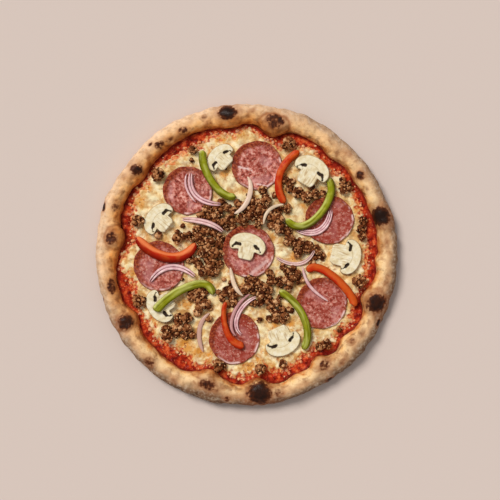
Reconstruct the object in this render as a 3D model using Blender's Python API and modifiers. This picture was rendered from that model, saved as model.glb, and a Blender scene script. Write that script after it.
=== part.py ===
"""Round hand-stretched pizza with a puffy charred rim, sauce, cheese and loose toppings.

Metres, +Z up. The origin is the middle of the flat underside. Places are given in
millimetres from the middle, +X right and +Y up as the pizza is seen from above.
"""

import math
import random

import bmesh
import bpy
import numpy as np
from mathutils import Euler, Vector, noise

MM = 0.001

# Driving dimensions
OUTER_RADIUS = 155 * MM
INNER_RADIUS = 134.4 * MM
BASE_HEIGHT = 5 * MM
RIM_HEIGHT = 20.5 * MM
RIM_BELLY = 8.5 * MM
UNDERSIDE_RADIUS = 148 * MM
SAUCE_HEIGHT = 1 * MM
SAUCE_SWELL = 0.9 * MM
CHEESE_RADIUS = 125 * MM
CHEESE_HEIGHT = 2.4 * MM
CHEESE_EDGE_HEIGHT = 1 * MM
SALAMI_HEIGHT = 1.6 * MM
MUSHROOM_HEIGHT = 4.2 * MM
PEPPER_HEIGHT = 5.5 * MM
ONION_HEIGHT = 2.4 * MM
GAP = 0.3 * MM
STEPS = 96
SEED = 7

# Height map of what has been laid, which the toppings rest on
CELL = 0.5 * MM
HALF_SPAN = 160 * MM
CELLS = int(2 * HALF_SPAN / CELL) + 1

# Lumps round the pizza: degrees from +X, millimetres, half width in degrees
RIM_BUBBLES = (
    (34, 2, 3), (49, 4, 5), (78.5, 12, 5.5), (97, 4.5, 4), (143, 3, 4), (172.5, 9.5, 5.5), (209, 7, 4),
    (253, 12, 6), (275, 8, 4), (292, 3, 4), (304, 8, 4), (320, 6, 4), (340, 10, 4.5), (357, 2.5, 3),
)
CHEESE_TONGUES = (
    (24, 3, 6), (38, 3.5, 3), (57, 4, 4), (91, 8.5, 5), (105, 4.5, 4), (136, 7, 4), (151, 8, 5),
    (183.5, 9, 4), (221, 2.5, 3), (246, 3, 3), (266, 2, 4), (314, 4, 3), (330, 3, 3), (348, 4, 3),
    (48, -3, 4), (71, -6, 5), (80, -4, 4), (112, -1, 4), (171.5, -7, 5), (196, -3, 3), (237, -5, 5),
    (256, -8, 4), (278, -5, 3), (300, -6, 4), (308, -7, 3), (340, -4.5, 5),
)

# Salami slices: middle, radius
SALAMI = (
    (10.4, 91.4, 25.5), (-60, 66, 25), (-89.5, -11.8, 25.8), (1.6, 3.6, 26.8),
    (-12.3, -85, 26.3), (77, -49.7, 26), (84.5, 35.6, 24.8),
)

# Mushroom slices: middle of the gills, degrees that the cap points to, width of the cap,
# and the stem's width and length as shares of it
MUSHROOMS = {
    "mushroom_1": (0.8, 7.9, 77, 38, 0.43, 0.34),
    "mushroom_2": (65.8, 85.5, 60, 38.5, 0.5, 0.41),
    "mushroom_3": (103, -1.8, -13, 37, 0.6, 0.46),
    "mushroom_4": (36.5, -88.4, -65, 38, 0.6, 0.4),
    "mushroom_5": (-86.9, -51.5, 213, 37, 0.5, 0.36),
    "mushroom_6": (-88.3, 35.6, 140, 37, 0.48, 0.32),
    "mushroom_7": (-25.8, 98.2, 137, 33, 0.55, 0.31),
}
CAP_TOP = 0.39  # the two below are shares of the cap's width
CAP_SHOULDER = 0.04
CAP_POINTS = 13

# Strips: the four points of a cubic curve along the middle, then the width
GREEN_PEPPERS = {
    "green_pepper_1": ((-44, 106), (-50, 92), (-28, 54), (-11, 60), 8),
    "green_pepper_2": ((82.5, 78), (100, 62), (58, 9), (40.5, 37), 8),
    "green_pepper_3": ((-92.5, -57.5), (-87, -45), (-37, -12), (-34.5, -41), 8.8),
    "green_pepper_4": ((33.5, -37), (53, -46.5), (71.5, -77), (57.5, -96.5), 7.8),
}
RED_PEPPERS = {
    "red_pepper_1": ((54, 105.5), (35, 96), (25, 71), (39.5, 53), 8),
    "red_pepper_2": ((-112, 18), (-99, -2), (-64, -14), (-52, 12), 10.5),
    "red_pepper_3": ((62.5, -17.5), (70.5, 1.5), (116, -43), (108.5, -52), 8.4),
    "red_pepper_4": ((-21, -48), (-27, -63), (-21, -92), (-2.5, -93), 8),
}
ONIONS = {
    "onion_1": ((-61, 83), (-65, 72), (-60, 62), (-51.5, 53.5), 2.6),
    "onion_2": ((-56.5, 84), (-61, 63), (-47, 52), (-26, 51.5), 5.8),
    "onion_3": ((-66, 36.5), (-54, 36), (-34, 34), (-24, 23.5), 5.6),
    "onion_4": ((1, 80), (9.5, 68), (0.5, 46), (-12.5, 42), 5.2),
    "onion_5": ((38, 51.5), (27, 50.5), (18, 45), (17.5, 31), 3.6),
    "onion_6": ((51, 26), (70, 17), (84, 26), (86, 46), 6.6),
    "onion_7": ((30, -2), (43, -12), (62, -14), (69, 4.5), 4),
    "onion_8": ((57, -11.5), (60, -31), (68, -37), (83.5, -47.5), 3.6),
    "onion_9": ((-98.5, -27.5), (-87, -8.5), (-68, -8), (-52.5, -22), 6.2),
    "onion_10": ((-16.5, -13), (-15, -22), (-13.5, -35), (-3.5, -41.5), 4.6),
    "onion_11": ((10, -43), (-6, -48.5), (-18.3, -72.6), (-5, -81.6), 4.4),
    "onion_12": ((3.5, -40), (-10.5, -47.5), (-22.6, -73), (-10.5, -82.5), 4),
    "onion_13": ((-37.5, -59.5), (-49.5, -67), (-51.5, -85), (-44, -99.5), 5),
}
STRIP_POINTS = 11
STRIP_END = 0.55  # width of a strip's ends, as a share
STRIP_FLAT = 0.3  # how far down from its middle a strip's section is kept, as a share of its width
PEPPER_STIFFNESS = 12  # rounds of smoothing along a strip that bridges what lies under it
ONION_STIFFNESS = 3
PEPPER_SIDES = 6
ONION_SIDES = 4

# Heaps of browned mince: the lumps of each, as middle and radius
MINCE_HEAPS = (
    ((-90, 82, 7.5),),
    ((-55, 107, 4.5),),
    ((-111, 35, 6.5),),
    ((-110, -47, 7.5),),
    ((-28, -113, 7),),
    ((14, -117, 6),),
    ((81, -91, 6), (74, -94, 4), (68, -97, 3.5)),
    ((115, -27, 7.5), (119, -35, 4)),
    ((119, 34, 5), (117, 26, 5), (118, 19, 4)),
    ((98, 75, 4), (103, 71, 4.5), (99, 66, 4.5)),
    ((43, 114, 7),),
    ((-71, 16, 5), (-65, 19, 4), (-58, 19, 5)),
    ((-61, -65, 6), (-69, -65, 5.5), (-70, -73, 6.5), (-80, -77, 6.5), (-61, -75, 5.5), (-80, -85, 5)),
    ((-56, -43, 5), (-49, -47, 5), (-48, -54, 4.5), (-42, -50, 4.8)),
    ((24, -47, 5), (30, -49, 5), (25, -54, 5), (30, -60, 5.5), (36, -56, 5), (39, -63, 5)),
    ((44, 69, 5.5), (52, 64, 6.5), (61, 59, 6.5), (70, 62, 5.5)),
    ((-34, 2, 7), (-44, 3, 7), (-53, 1, 6), (-37, -7, 7), (-34, -16, 7), (-44, -16, 7),
     (-38, 12, 7), (-48, 14, 7)),
    ((-25, 32, 7), (-35, 37, 7), (-39, 47, 7), (-29, 46, 7), (-25, 55, 6), (-45, 39, 5.5), (-16, 36, 6)),
    ((-5, 37, 6.5), (5, 41, 7), (14, 37, 7), (15, 47, 7), (-1, 49, 6), (19, 56, 6.5), (9, 53, 6),
     (24, 41, 6.5), (32, 36, 6.5), (34, 27, 6.5)),
    ((44, 15, 7), (53, 11, 7), (62, 8, 6.5), (53, 3, 6), (71, 5, 6)),
    ((43, -17, 5.5), (51, -20, 5), (44, -26, 6.5), (35, -27, 6), (26, -26, 6), (41, -34, 5)),
    ((4, -34, 7), (13, -33, 7), (22, -34, 6.5), (16, -41, 6), (-4, -37, 6), (-12, -37, 6.5),
     (-20, -37, 6)),
)
LARGEST_CRUMB = 4.9  # a larger lump is a clump of several crumbs
CLUMP_CRUMBS = 3
CRUMB_SHARE = 0.7  # of the clump's radius
CRUMB_ROUGHNESS = 0.15
KEPT_FACES = 0.45  # of those that fusing the crumbs makes
TOP_OF_FLAT_TOPPINGS = 12.6 * MM

random_draw = random.Random(SEED)


def clear_scene():
    for obj in list(bpy.data.objects):
        bpy.data.objects.remove(obj, do_unlink=True)


def new_collection(name):
    made = bpy.data.collections.new(name)
    bpy.context.scene.collection.children.link(made)
    return made


def plain_material(name, colour, roughness):
    material = bpy.data.materials.new(name)
    material.use_nodes = True
    shader = material.node_tree.nodes["Principled BSDF"]
    shader.inputs["Base Color"].default_value = (*colour, 1)
    shader.inputs["Roughness"].default_value = roughness
    shader.inputs["Metallic"].default_value = 0
    material.diffuse_color = (*colour, 1)
    return material


def baked(obj):
    """The object's mesh with its modifiers or its bevel applied."""
    graph = bpy.context.evaluated_depsgraph_get()
    return bpy.data.meshes.new_from_object(obj.evaluated_get(graph))


def finished(name, mesh, material):
    """The named piece of the pizza that holds this mesh."""
    mesh.materials.clear()
    mesh.materials.append(material)
    mesh.shade_smooth()
    mesh.set_sharp_from_angle(angle=math.radians(50))
    obj = bpy.data.objects.new(name, mesh)
    pizza.objects.link(obj)
    return obj


def points_of(mesh):
    flat = np.empty(3 * len(mesh.vertices), np.float32)
    mesh.vertices.foreach_get("co", flat)
    return flat.reshape(-1, 3).astype(float)


def set_points(mesh, points):
    mesh.vertices.foreach_set("co", points.astype(np.float32).ravel())
    mesh.update()


def triangles_of(mesh):
    mesh.calc_loop_triangles()
    flat = np.empty(3 * len(mesh.loop_triangles), np.int32)
    mesh.loop_triangles.foreach_get("vertices", flat)
    return flat.reshape(-1, 3)


class Laid:
    """The highest point of everything laid so far, over a square grid of cells."""

    def __init__(self):
        self.height = np.zeros((CELLS, CELLS))

    @staticmethod
    def shadow(points, triangles, pick, nothing):
        """Over each cell, the mesh's highest or lowest point as pick says, else nothing."""
        grid = np.full((CELLS, CELLS), nothing)
        cells = (points[:, :2] + HALF_SPAN) / CELL
        for corners in triangles:
            (ax, ay), (bx, by), (cx, cy) = cells[corners]
            twice_area = (bx - ax) * (cy - ay) - (cx - ax) * (by - ay)
            if abs(twice_area) < 1e-9:
                continue
            low_x, low_y = int(min(ax, bx, cx)), int(min(ay, by, cy))
            high_x, high_y = int(max(ax, bx, cx)) + 2, int(max(ay, by, cy)) + 2
            x, y = np.mgrid[low_x:high_x, low_y:high_y]
            share_b = ((x - ax) * (cy - ay) - (cx - ax) * (y - ay)) / twice_area
            share_c = ((bx - ax) * (y - ay) - (x - ax) * (by - ay)) / twice_area
            inside = (share_b >= 0) & (share_c >= 0) & (share_b + share_c <= 1)
            a, b, c = points[corners, 2]
            z = a + (b - a) * share_b + (c - a) * share_c
            part = grid[low_x:high_x, low_y:high_y]
            part[inside] = pick(part[inside], z[inside])
        return grid

    def add(self, mesh):
        over = self.shadow(points_of(mesh), triangles_of(mesh), np.maximum, 0.0)
        self.height = np.maximum(self.height, over)

    def felt(self, x, y, reach):
        """The highest point within reach of (x, y)."""
        column, row = round((x + HALF_SPAN) / CELL), round((y + HALF_SPAN) / CELL)
        cells = math.ceil(reach / CELL)
        dx, dy = np.mgrid[-cells : cells + 1, -cells : cells + 1]
        near = np.hypot(dx, dy) <= cells
        return self.height[column + dx[near], row + dy[near]].max()

    def lift_for(self, mesh):
        """How far the mesh rises, or sinks if negative, to rest on what is laid, with the gap."""
        under = self.shadow(points_of(mesh), triangles_of(mesh), np.minimum, np.inf)
        around = np.pad(self.height, 1)
        shifts = [(dx, dy) for dx in range(3) for dy in range(3)]
        around = np.max([around[dx : dx + CELLS, dy : dy + CELLS] for dx, dy in shifts], axis=0)
        covered = np.isfinite(under)
        return (around[covered] - under[covered]).max() + GAP


def lower_onto_pizza(mesh, rest_height):
    """Bends a flat mesh to the resting height at each of its points, then sets it on what is laid."""
    points = points_of(mesh)
    points[:, 2] += [rest_height(x, y) for x, y in points[:, :2]]
    set_points(mesh, points)
    points[:, 2] += laid.lift_for(mesh)
    set_points(mesh, points)
    laid.add(mesh)


def lumps_round(angle, lumps):
    """The lumps' reach in metres at this angle in radians."""
    total = 0.0
    for degrees, reach, half_width in lumps:
        away = (math.degrees(angle) - degrees + 180) % 360 - 180
        total += reach * MM * 0.5 ** ((away / half_width) ** 2)
    return total


def rim_inside(angle):
    return INNER_RADIUS - lumps_round(angle, RIM_BUBBLES) + 0.6 * MM * math.sin(9 * angle + 1)


def rim_outside(angle):
    sway = 0.3 * math.sin(3 * angle + 2) + 0.3 * math.sin(7 * angle) + 0.25 * math.sin(13 * angle + 4)
    return OUTER_RADIUS + (sway - 0.2) * MM


def cheese_edge(angle):
    """The cheese reaches close to the rim, but never under it."""
    ripple = 0.7 * MM * math.sin(23 * angle) * math.sin(5 * angle + 1)
    reach = CHEESE_RADIUS + lumps_round(angle, CHEESE_TONGUES) + ripple
    return min(reach, rim_inside(angle) - 3 * MM)


def turned(profile):
    """The profile, a list of (radius, height), turned about Z into a closed mesh."""
    mesh = bpy.data.meshes.new("profile")
    edges = [(i, i + 1) for i in range(len(profile) - 1)]
    mesh.from_pydata([(radius, 0, height) for radius, height in profile], edges, [])
    obj = bpy.data.objects.new("profile", mesh)
    pizza.objects.link(obj)
    screw = obj.modifiers.new("Screw", "SCREW")
    screw.steps = STEPS
    screw.render_steps = STEPS
    screw.use_merge_vertices = True
    screw.merge_threshold = 0.05 * MM
    made = baked(obj)
    bpy.data.objects.remove(obj)
    return made


def warped(mesh, move):
    """The mesh with move(angle, radius, height) giving each point's new radius and height."""
    points = points_of(mesh)
    for i, (x, y, z) in enumerate(points):
        angle = math.atan2(y, x)
        radius, height = move(angle, math.hypot(x, y), z)
        points[i] = radius * math.cos(angle), radius * math.sin(angle), height
    set_points(mesh, points)
    return mesh


def rim_profile():
    """The rim from its inner foot over the top to the underside: steep inside, full outside."""
    middle = (INNER_RADIUS + OUTER_RADIUS) / 2
    half_width = (OUTER_RADIUS - INNER_RADIUS) / 2
    over = []
    for degrees in (168, 146, 124, 102, 80, 57, 32, 6):
        turn = math.radians(degrees)
        across = math.copysign(abs(math.cos(turn)) ** 0.85, math.cos(turn))
        over.append((middle + half_width * across, RIM_BELLY + (RIM_HEIGHT - RIM_BELLY) * math.sin(turn)))
    under = [(OUTER_RADIUS - 1 * MM, RIM_BELLY / 2), (OUTER_RADIUS - 3.4 * MM, 1.2 * MM)]
    return [(INNER_RADIUS, BASE_HEIGHT)] + over + under + [(UNDERSIDE_RADIUS, 0)]


def make_crust():
    profile = [(0, BASE_HEIGHT)] + rim_profile() + [(0, 0)]

    def move(angle, radius, height):
        across = min(max((radius - INNER_RADIUS) / (OUTER_RADIUS - INNER_RADIUS), 0), 1)
        inward = (rim_inside(angle) - INNER_RADIUS) * (1 - across) ** 1.3
        outward = (rim_outside(angle) - OUTER_RADIUS) * across
        if radius < INNER_RADIUS / 2:
            return radius, height
        if height < RIM_BELLY / 3:
            return radius + outward, height
        above = height - BASE_HEIGHT
        puff = 1 + 0.05 * math.sin(5 * angle + 1) + 0.05 * math.sin(11 * angle + 3)
        bubble = 0.05 * lumps_round(angle, RIM_BUBBLES) / (3 * MM)
        return radius + inward + outward, BASE_HEIGHT + above * (puff + bubble * (1 - across))

    mesh = warped(turned(profile), move)
    material = plain_material("baked_crust", (0.70, 0.42, 0.20), 0.75)
    laid.add(finished("crust", mesh, material).data)


def make_sauce():
    bottom = BASE_HEIGHT + GAP
    top = bottom + SAUCE_HEIGHT
    swell = top + SAUCE_SWELL
    nominal = [0, CHEESE_RADIUS, 130 * MM, 133 * MM, INNER_RADIUS]
    profile = [(0, top), (nominal[1], top), (nominal[2], swell), (nominal[3], swell)]
    profile += [(nominal[4], top), (nominal[4], bottom), (0, bottom)]

    def move(angle, radius, height):
        start, end = cheese_edge(angle) + 0.8 * MM, rim_inside(angle) - GAP
        rings = [0, start, start + 0.4 * (end - start), start + 0.8 * (end - start), end]
        return float(np.interp(radius, nominal, rings)), height

    mesh = warped(turned(profile), move)
    laid.add(finished("sauce", mesh, plain_material("tomato_sauce", (0.33, 0.025, 0.008), 0.3)).data)


def make_cheese():
    bottom = BASE_HEIGHT + SAUCE_HEIGHT + 2 * GAP
    rings = [0, 0.3, 0.55, 0.8, 0.94]
    profile = [(share * CHEESE_RADIUS, bottom + CHEESE_HEIGHT) for share in rings]
    profile += [(CHEESE_RADIUS, bottom + CHEESE_EDGE_HEIGHT), (CHEESE_RADIUS, bottom), (0, bottom)]

    def move(angle, radius, height):
        share = radius / CHEESE_RADIUS
        radius *= 1 + (cheese_edge(angle) / CHEESE_RADIUS - 1) * share**3
        if height > bottom + CHEESE_EDGE_HEIGHT * 1.1:
            place = Vector((radius * math.cos(angle), radius * math.sin(angle), 0)) / (28 * MM)
            height += 0.8 * MM * noise.noise(place)
        return radius, height

    mesh = warped(turned(profile), move)
    laid.add(finished("cheese", mesh, plain_material("melted_cheese", (0.80, 0.60, 0.30), 0.45)).data)


def make_salami():
    material = plain_material("salami", (0.38, 0.09, 0.07), 0.4)
    for number, (x, y, radius) in enumerate(SALAMI, 1):
        drawn = bmesh.new()
        bmesh.ops.create_cone(drawn, cap_ends=True, cap_tris=True, segments=24,
                              radius1=radius * MM, radius2=radius * MM, depth=SALAMI_HEIGHT)
        spokes = [edge for edge in drawn.edges if abs(edge.verts[0].co.z - edge.verts[1].co.z) < MM / 10
                  and min(vert.co.xy.length for vert in edge.verts) < MM]
        bmesh.ops.subdivide_edges(drawn, edges=spokes, cuts=1)
        bmesh.ops.triangulate(drawn, faces=drawn.faces)
        for vert in drawn.verts:
            turn = math.atan2(vert.co.y, vert.co.x)
            vert.co.xy *= 1 + 0.012 * math.sin(2 * turn + number) + 0.008 * math.sin(5 * turn + 2 * number)
            vert.co += Vector((x * MM, y * MM, 0))
        mesh = bpy.data.meshes.new("slice")
        drawn.to_mesh(mesh)
        drawn.free()
        lower_onto_pizza(mesh, lambda px, py: laid.felt(px, py, 4 * MM))
        finished(f"salami_{number}", mesh, material)


def mushroom_outline(width, stem_share, stem_end):
    """A slice through cap and stem, cap up: the cap's arc, a notch at the gills, then the stem."""
    half, shoulder = width / 2, CAP_SHOULDER * width
    rise = CAP_TOP * width - shoulder
    outline = []
    for i in range(CAP_POINTS):
        turn = math.radians(-22 + 224 * i / (CAP_POINTS - 1))
        outline.append((half * math.cos(turn), shoulder + rise * math.sin(turn)))
    margin, stem, end = half * 0.78, stem_share * width / 2, -stem_end * width
    left = [(-margin, -0.15 * width), (-(margin + stem) / 2, -0.08 * width), (-stem, -0.11 * width)]
    left += [(-stem * 0.97, end * 0.78), (-stem * 0.75, end)]
    return outline + left + [(-x, y) for x, y in reversed(left)]


def filled_outline(outline, height):
    """A flat slab of this outline, from z = 0 up."""
    curve = bpy.data.curves.new("outline", "CURVE")
    curve.dimensions = "2D"
    curve.fill_mode = "BOTH"
    curve.extrude = height / 2
    spline = curve.splines.new("POLY")
    spline.points.add(len(outline) - 1)
    for point, (x, y) in zip(spline.points, outline):
        point.co = (x, y, 0, 1)
    spline.use_cyclic_u = True
    return welded_from(curve)


def welded_from(curve):
    obj = bpy.data.objects.new("guide", curve)
    guides.objects.link(obj)
    mesh = baked(obj)
    bpy.data.objects.remove(obj)
    drawn = bmesh.new()
    drawn.from_mesh(mesh)
    bmesh.ops.remove_doubles(drawn, verts=drawn.verts, dist=0.01 * MM)
    bmesh.ops.recalc_face_normals(drawn, faces=drawn.faces)
    drawn.to_mesh(mesh)
    drawn.free()
    return mesh


def make_mushroom(name):
    x, y, degrees, width, stem_share, stem_end = MUSHROOMS[name]
    mesh = filled_outline(mushroom_outline(width * MM, stem_share, stem_end), MUSHROOM_HEIGHT)
    points = points_of(mesh)
    turn = math.radians(degrees - 90)
    across, along = points[:, 0].copy(), points[:, 1].copy()
    points[:, 0] = x * MM + across * math.cos(turn) - along * math.sin(turn)
    points[:, 1] = y * MM + across * math.sin(turn) + along * math.cos(turn)
    set_points(mesh, points)
    slope = resting_plane(points[:, :2])
    lower_onto_pizza(mesh, lambda px, py: slope[0] * px + slope[1] * py + slope[2])
    finished(name, mesh, mushroom_material)


def resting_plane(outline):
    """The tilt of a stiff flat piece on what is laid: the plane nearest to the tops under it."""
    middle = outline.mean(axis=0)
    under = np.concatenate([middle + (outline - middle) * share for share in (0.3, 0.65, 0.95)])
    tops = [laid.felt(x, y, 2 * MM) for x, y in under]
    return np.linalg.lstsq(np.column_stack([under, np.ones(len(under))]), tops, rcond=None)[0]


def cubic(route, count):
    """Points along a cubic curve given by its ends and its two handles."""
    t = np.linspace(0, 1, count)[:, None]
    shares = np.hstack([(1 - t) ** 3, 3 * t * (1 - t) ** 2, 3 * t**2 * (1 - t), t**3])
    return shares @ np.array(route, float) * MM


def sprung_over(floor, rounds):
    """Resting heights along a bent strip: on the floor's tops, and bridging its narrow dips."""
    line = floor.copy()
    for _ in range(rounds):
        ends = np.pad(line, 1, mode="edge")
        line = np.maximum(floor, (ends[:-2] + ends[2:]) / 2)
    return line


def make_strip(name, strips, height, sides, stiffness, material):
    """A strip along its route with a rounded section, a flat underside and blunt narrow ends."""
    *route, width = strips[name]
    route = cubic(route, STRIP_POINTS)
    curve = bpy.data.curves.new("route", "CURVE")
    curve.dimensions = "3D"
    curve.twist_mode = "Z_UP"
    curve.bevel_depth = width * MM / 2
    curve.bevel_resolution = sides // 2 - 2
    curve.use_fill_caps = True
    spline = curve.splines.new("POLY")
    spline.points.add(STRIP_POINTS - 1)
    for i, point in enumerate(spline.points):
        point.co = (*route[i], 0, 1)
        point.radius = STRIP_END if i in (0, STRIP_POINTS - 1) else 1
    mesh = welded_from(curve)
    points = points_of(mesh)
    above = np.maximum(points[:, 2] / (width * MM) + STRIP_FLAT, 0)
    points[:, 2] = height * above / above.max()
    set_points(mesh, points)
    floor = np.array([laid.felt(x, y, width * MM / 2 + MM) for x, y in route])
    line = sprung_over(floor, stiffness)

    def rest_height(x, y):
        nearest = np.hypot(*(route - (x, y)).T)
        near = 1 / (nearest**2 + (0.5 * MM) ** 2)
        return (near * line).sum() / near.sum()

    lower_onto_pizza(mesh, rest_height)
    finished(name, mesh, material)


def make_peppers():
    green = plain_material("green_pepper", (0.26, 0.24, 0.03), 0.3)
    for name in GREEN_PEPPERS:
        make_strip(name, GREEN_PEPPERS, PEPPER_HEIGHT, PEPPER_SIDES, PEPPER_STIFFNESS, green)
    red = plain_material("red_pepper", (0.55, 0.06, 0.015), 0.3)
    for name in RED_PEPPERS:
        make_strip(name, RED_PEPPERS, PEPPER_HEIGHT, PEPPER_SIDES, PEPPER_STIFFNESS, red)


def make_onion(name):
    make_strip(name, ONIONS, ONION_HEIGHT, ONION_SIDES, ONION_STIFFNESS, onion_material)


def crumb(x, y, radius):
    """One rough crumb of mince, resting on what is laid, or None where a taller topping is."""
    if laid.felt(x, y, radius * 0.9) > TOP_OF_FLAT_TOPPINGS:
        return None
    drawn = bmesh.new()
    bmesh.ops.create_icosphere(drawn, subdivisions=1, radius=radius)
    turn = Euler([random_draw.uniform(0, 2 * math.pi) for _ in range(3)])
    for vert in drawn.verts:
        vert.co.rotate(turn)
        vert.co *= 1 + random_draw.uniform(-CRUMB_ROUGHNESS, CRUMB_ROUGHNESS)
        vert.co += Vector((x, y, 0))
    mesh = bpy.data.meshes.new("crumb")
    drawn.to_mesh(mesh)
    drawn.free()
    points = points_of(mesh)
    points[:, 2] += laid.lift_for(mesh)
    set_points(mesh, points)
    return mesh


def lump_crumbs(lump, neighbour):
    """A small lump is one crumb. A larger one is a clump of crumbs, the first towards its neighbour."""
    x, y, radius = (size * MM for size in lump)
    if lump[2] < LARGEST_CRUMB:
        return [crumb(x, y, radius)]
    made = []
    start = math.atan2(neighbour[1] - lump[1], neighbour[0] - lump[0])
    for i in range(CLUMP_CRUMBS):
        turn = start + 2 * math.pi * i / CLUMP_CRUMBS
        size = radius * CRUMB_SHARE * random_draw.uniform(0.94, 1.06)
        ring = radius - size
        made.append(crumb(x + ring * math.cos(turn), y + ring * math.sin(turn), size))
    return made


def fused(meshes):
    """One closed mesh of all the given ones, less any scrap that touches none of the rest."""
    crumbs = new_collection("crumbs")
    objects = [bpy.data.objects.new("crumb", mesh) for mesh in meshes]
    pizza.objects.link(objects[0])
    for obj in objects[1:]:
        crumbs.objects.link(obj)
    if len(objects) > 1:
        union = objects[0].modifiers.new("Fuse", "BOOLEAN")
        union.operation = "UNION"
        union.operand_type = "COLLECTION"
        union.collection = crumbs
        fewer = objects[0].modifiers.new("Fewer faces", "DECIMATE")
        fewer.ratio = KEPT_FACES
        fewer.use_collapse_triangulate = True
    mesh = baked(objects[0])
    for obj in objects:
        bpy.data.objects.remove(obj)
    bpy.data.collections.remove(crumbs)
    keep_largest_body(mesh)
    return mesh


def keep_largest_body(mesh):
    drawn = bmesh.new()
    drawn.from_mesh(mesh)
    left = set(drawn.verts)
    bodies = []
    while left:
        body, edge_of_body = set(), [left.pop()]
        while edge_of_body:
            vert = edge_of_body.pop()
            body.add(vert)
            near = {edge.other_vert(vert) for edge in vert.link_edges} & left
            left -= near
            edge_of_body.extend(near)
        bodies.append(body)
    largest = max(bodies, key=len)
    scraps = [vert for body in bodies if body is not largest for vert in body]
    bmesh.ops.delete(drawn, geom=scraps, context="VERTS")
    drawn.to_mesh(mesh)
    drawn.free()


def make_mince():
    material = plain_material("browned_mince", (0.13, 0.045, 0.018), 0.6)
    for number, heap in enumerate(MINCE_HEAPS, 1):
        crumbs = []
        for lump, neighbour in zip(heap, heap[-1:] + heap[:-1]):
            crumbs += lump_crumbs(lump, neighbour)
        mesh = fused([crumb for crumb in crumbs if crumb is not None])
        points = points_of(mesh)
        points[:, 2] += max(laid.lift_for(mesh), 0)
        set_points(mesh, points)
        laid.add(mesh)
        finished(f"mince_{number}", mesh, material)


clear_scene()
pizza = new_collection("pizza")
guides = new_collection("guides")
laid = Laid()
mushroom_material = plain_material("mushroom", (0.76, 0.62, 0.40), 0.55)
onion_material = plain_material("red_onion", (0.66, 0.42, 0.42), 0.35)

make_crust()
make_sauce()
make_cheese()
make_salami()
for mushroom in MUSHROOMS:
    if mushroom != "mushroom_2":
        make_mushroom(mushroom)
make_onion("onion_6")
make_peppers()
make_mushroom("mushroom_2")
make_mince()
for onion in ONIONS:
    if onion != "onion_6":
        make_onion(onion)
bpy.data.collections.remove(guides)
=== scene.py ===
"""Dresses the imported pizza: fine meshes in place of its solids, with procedural materials.

Metres, +Z up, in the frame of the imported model. Places are given in millimetres from the
middle, +X right and +Y up as the pizza is seen from above.
"""

import math

import bmesh
import bpy
import numpy as np
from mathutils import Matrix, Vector, noise
from mathutils.bvhtree import BVHTree


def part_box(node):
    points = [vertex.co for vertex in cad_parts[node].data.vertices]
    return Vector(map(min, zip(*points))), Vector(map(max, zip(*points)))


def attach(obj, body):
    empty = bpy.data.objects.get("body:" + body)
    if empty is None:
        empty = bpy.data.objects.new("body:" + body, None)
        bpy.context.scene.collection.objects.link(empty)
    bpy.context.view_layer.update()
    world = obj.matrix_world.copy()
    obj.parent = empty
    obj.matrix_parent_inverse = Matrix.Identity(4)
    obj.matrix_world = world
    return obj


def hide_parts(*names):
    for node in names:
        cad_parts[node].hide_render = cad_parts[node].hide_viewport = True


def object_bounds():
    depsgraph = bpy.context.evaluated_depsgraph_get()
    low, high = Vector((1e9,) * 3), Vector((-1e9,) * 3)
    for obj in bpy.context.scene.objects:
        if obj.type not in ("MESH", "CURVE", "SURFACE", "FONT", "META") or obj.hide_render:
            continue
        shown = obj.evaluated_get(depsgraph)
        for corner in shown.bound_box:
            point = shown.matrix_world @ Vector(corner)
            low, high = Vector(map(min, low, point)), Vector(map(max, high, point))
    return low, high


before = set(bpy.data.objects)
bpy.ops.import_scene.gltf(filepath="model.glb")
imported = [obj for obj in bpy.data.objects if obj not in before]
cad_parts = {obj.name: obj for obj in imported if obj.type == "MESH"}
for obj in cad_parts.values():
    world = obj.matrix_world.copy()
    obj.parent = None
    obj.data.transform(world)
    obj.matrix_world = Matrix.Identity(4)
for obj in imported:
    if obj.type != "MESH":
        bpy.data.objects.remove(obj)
solid_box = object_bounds()

MM = 0.001

# The form shared with the solids
OUTER_RADIUS = 155 * MM
INNER_RADIUS = 134.4 * MM
BASE_HEIGHT = 5 * MM
RIM_HEIGHT = 20.5 * MM
RIM_BELLY = 8.5 * MM
UNDERSIDE_RADIUS = 148 * MM
SAUCE_BOTTOM = BASE_HEIGHT
SAUCE_TOP = 6.3 * MM
SAUCE_SWELL = 0.9 * MM
CHEESE_RADIUS = 125 * MM
CHEESE_BOTTOM = 6.3 * MM
CHEESE_TOP = 9 * MM
CHEESE_EDGE_TOP = 7.7 * MM
SALAMI_HEIGHT = 1.6 * MM
MUSHROOM_HEIGHT = 4.2 * MM
PEPPER_HEIGHT = 5.5 * MM
ONION_HEIGHT = 2.4 * MM
SINK = 0.45 * MM  # how far a topping settles below the gap that its solid keeps
MINCE_HEAPS = 22
SALAMI_SLICES = 7
SEED = 11

# Detail of the meshes
CRUST_SPOKES = 760
LAYER_SPOKES = 720
SLICE_SPOKES = 120
MUSHROOM_SPOKES = 200
CHEESE_CRUMBS = 220
PEPPER_FORM = {"height": PEPPER_HEIGHT, "rows": 90, "columns": 32, "roundness": 0.85}
ONION_FORM = {"height": ONION_HEIGHT, "rows": 70, "columns": 16, "roundness": 0.8}

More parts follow.
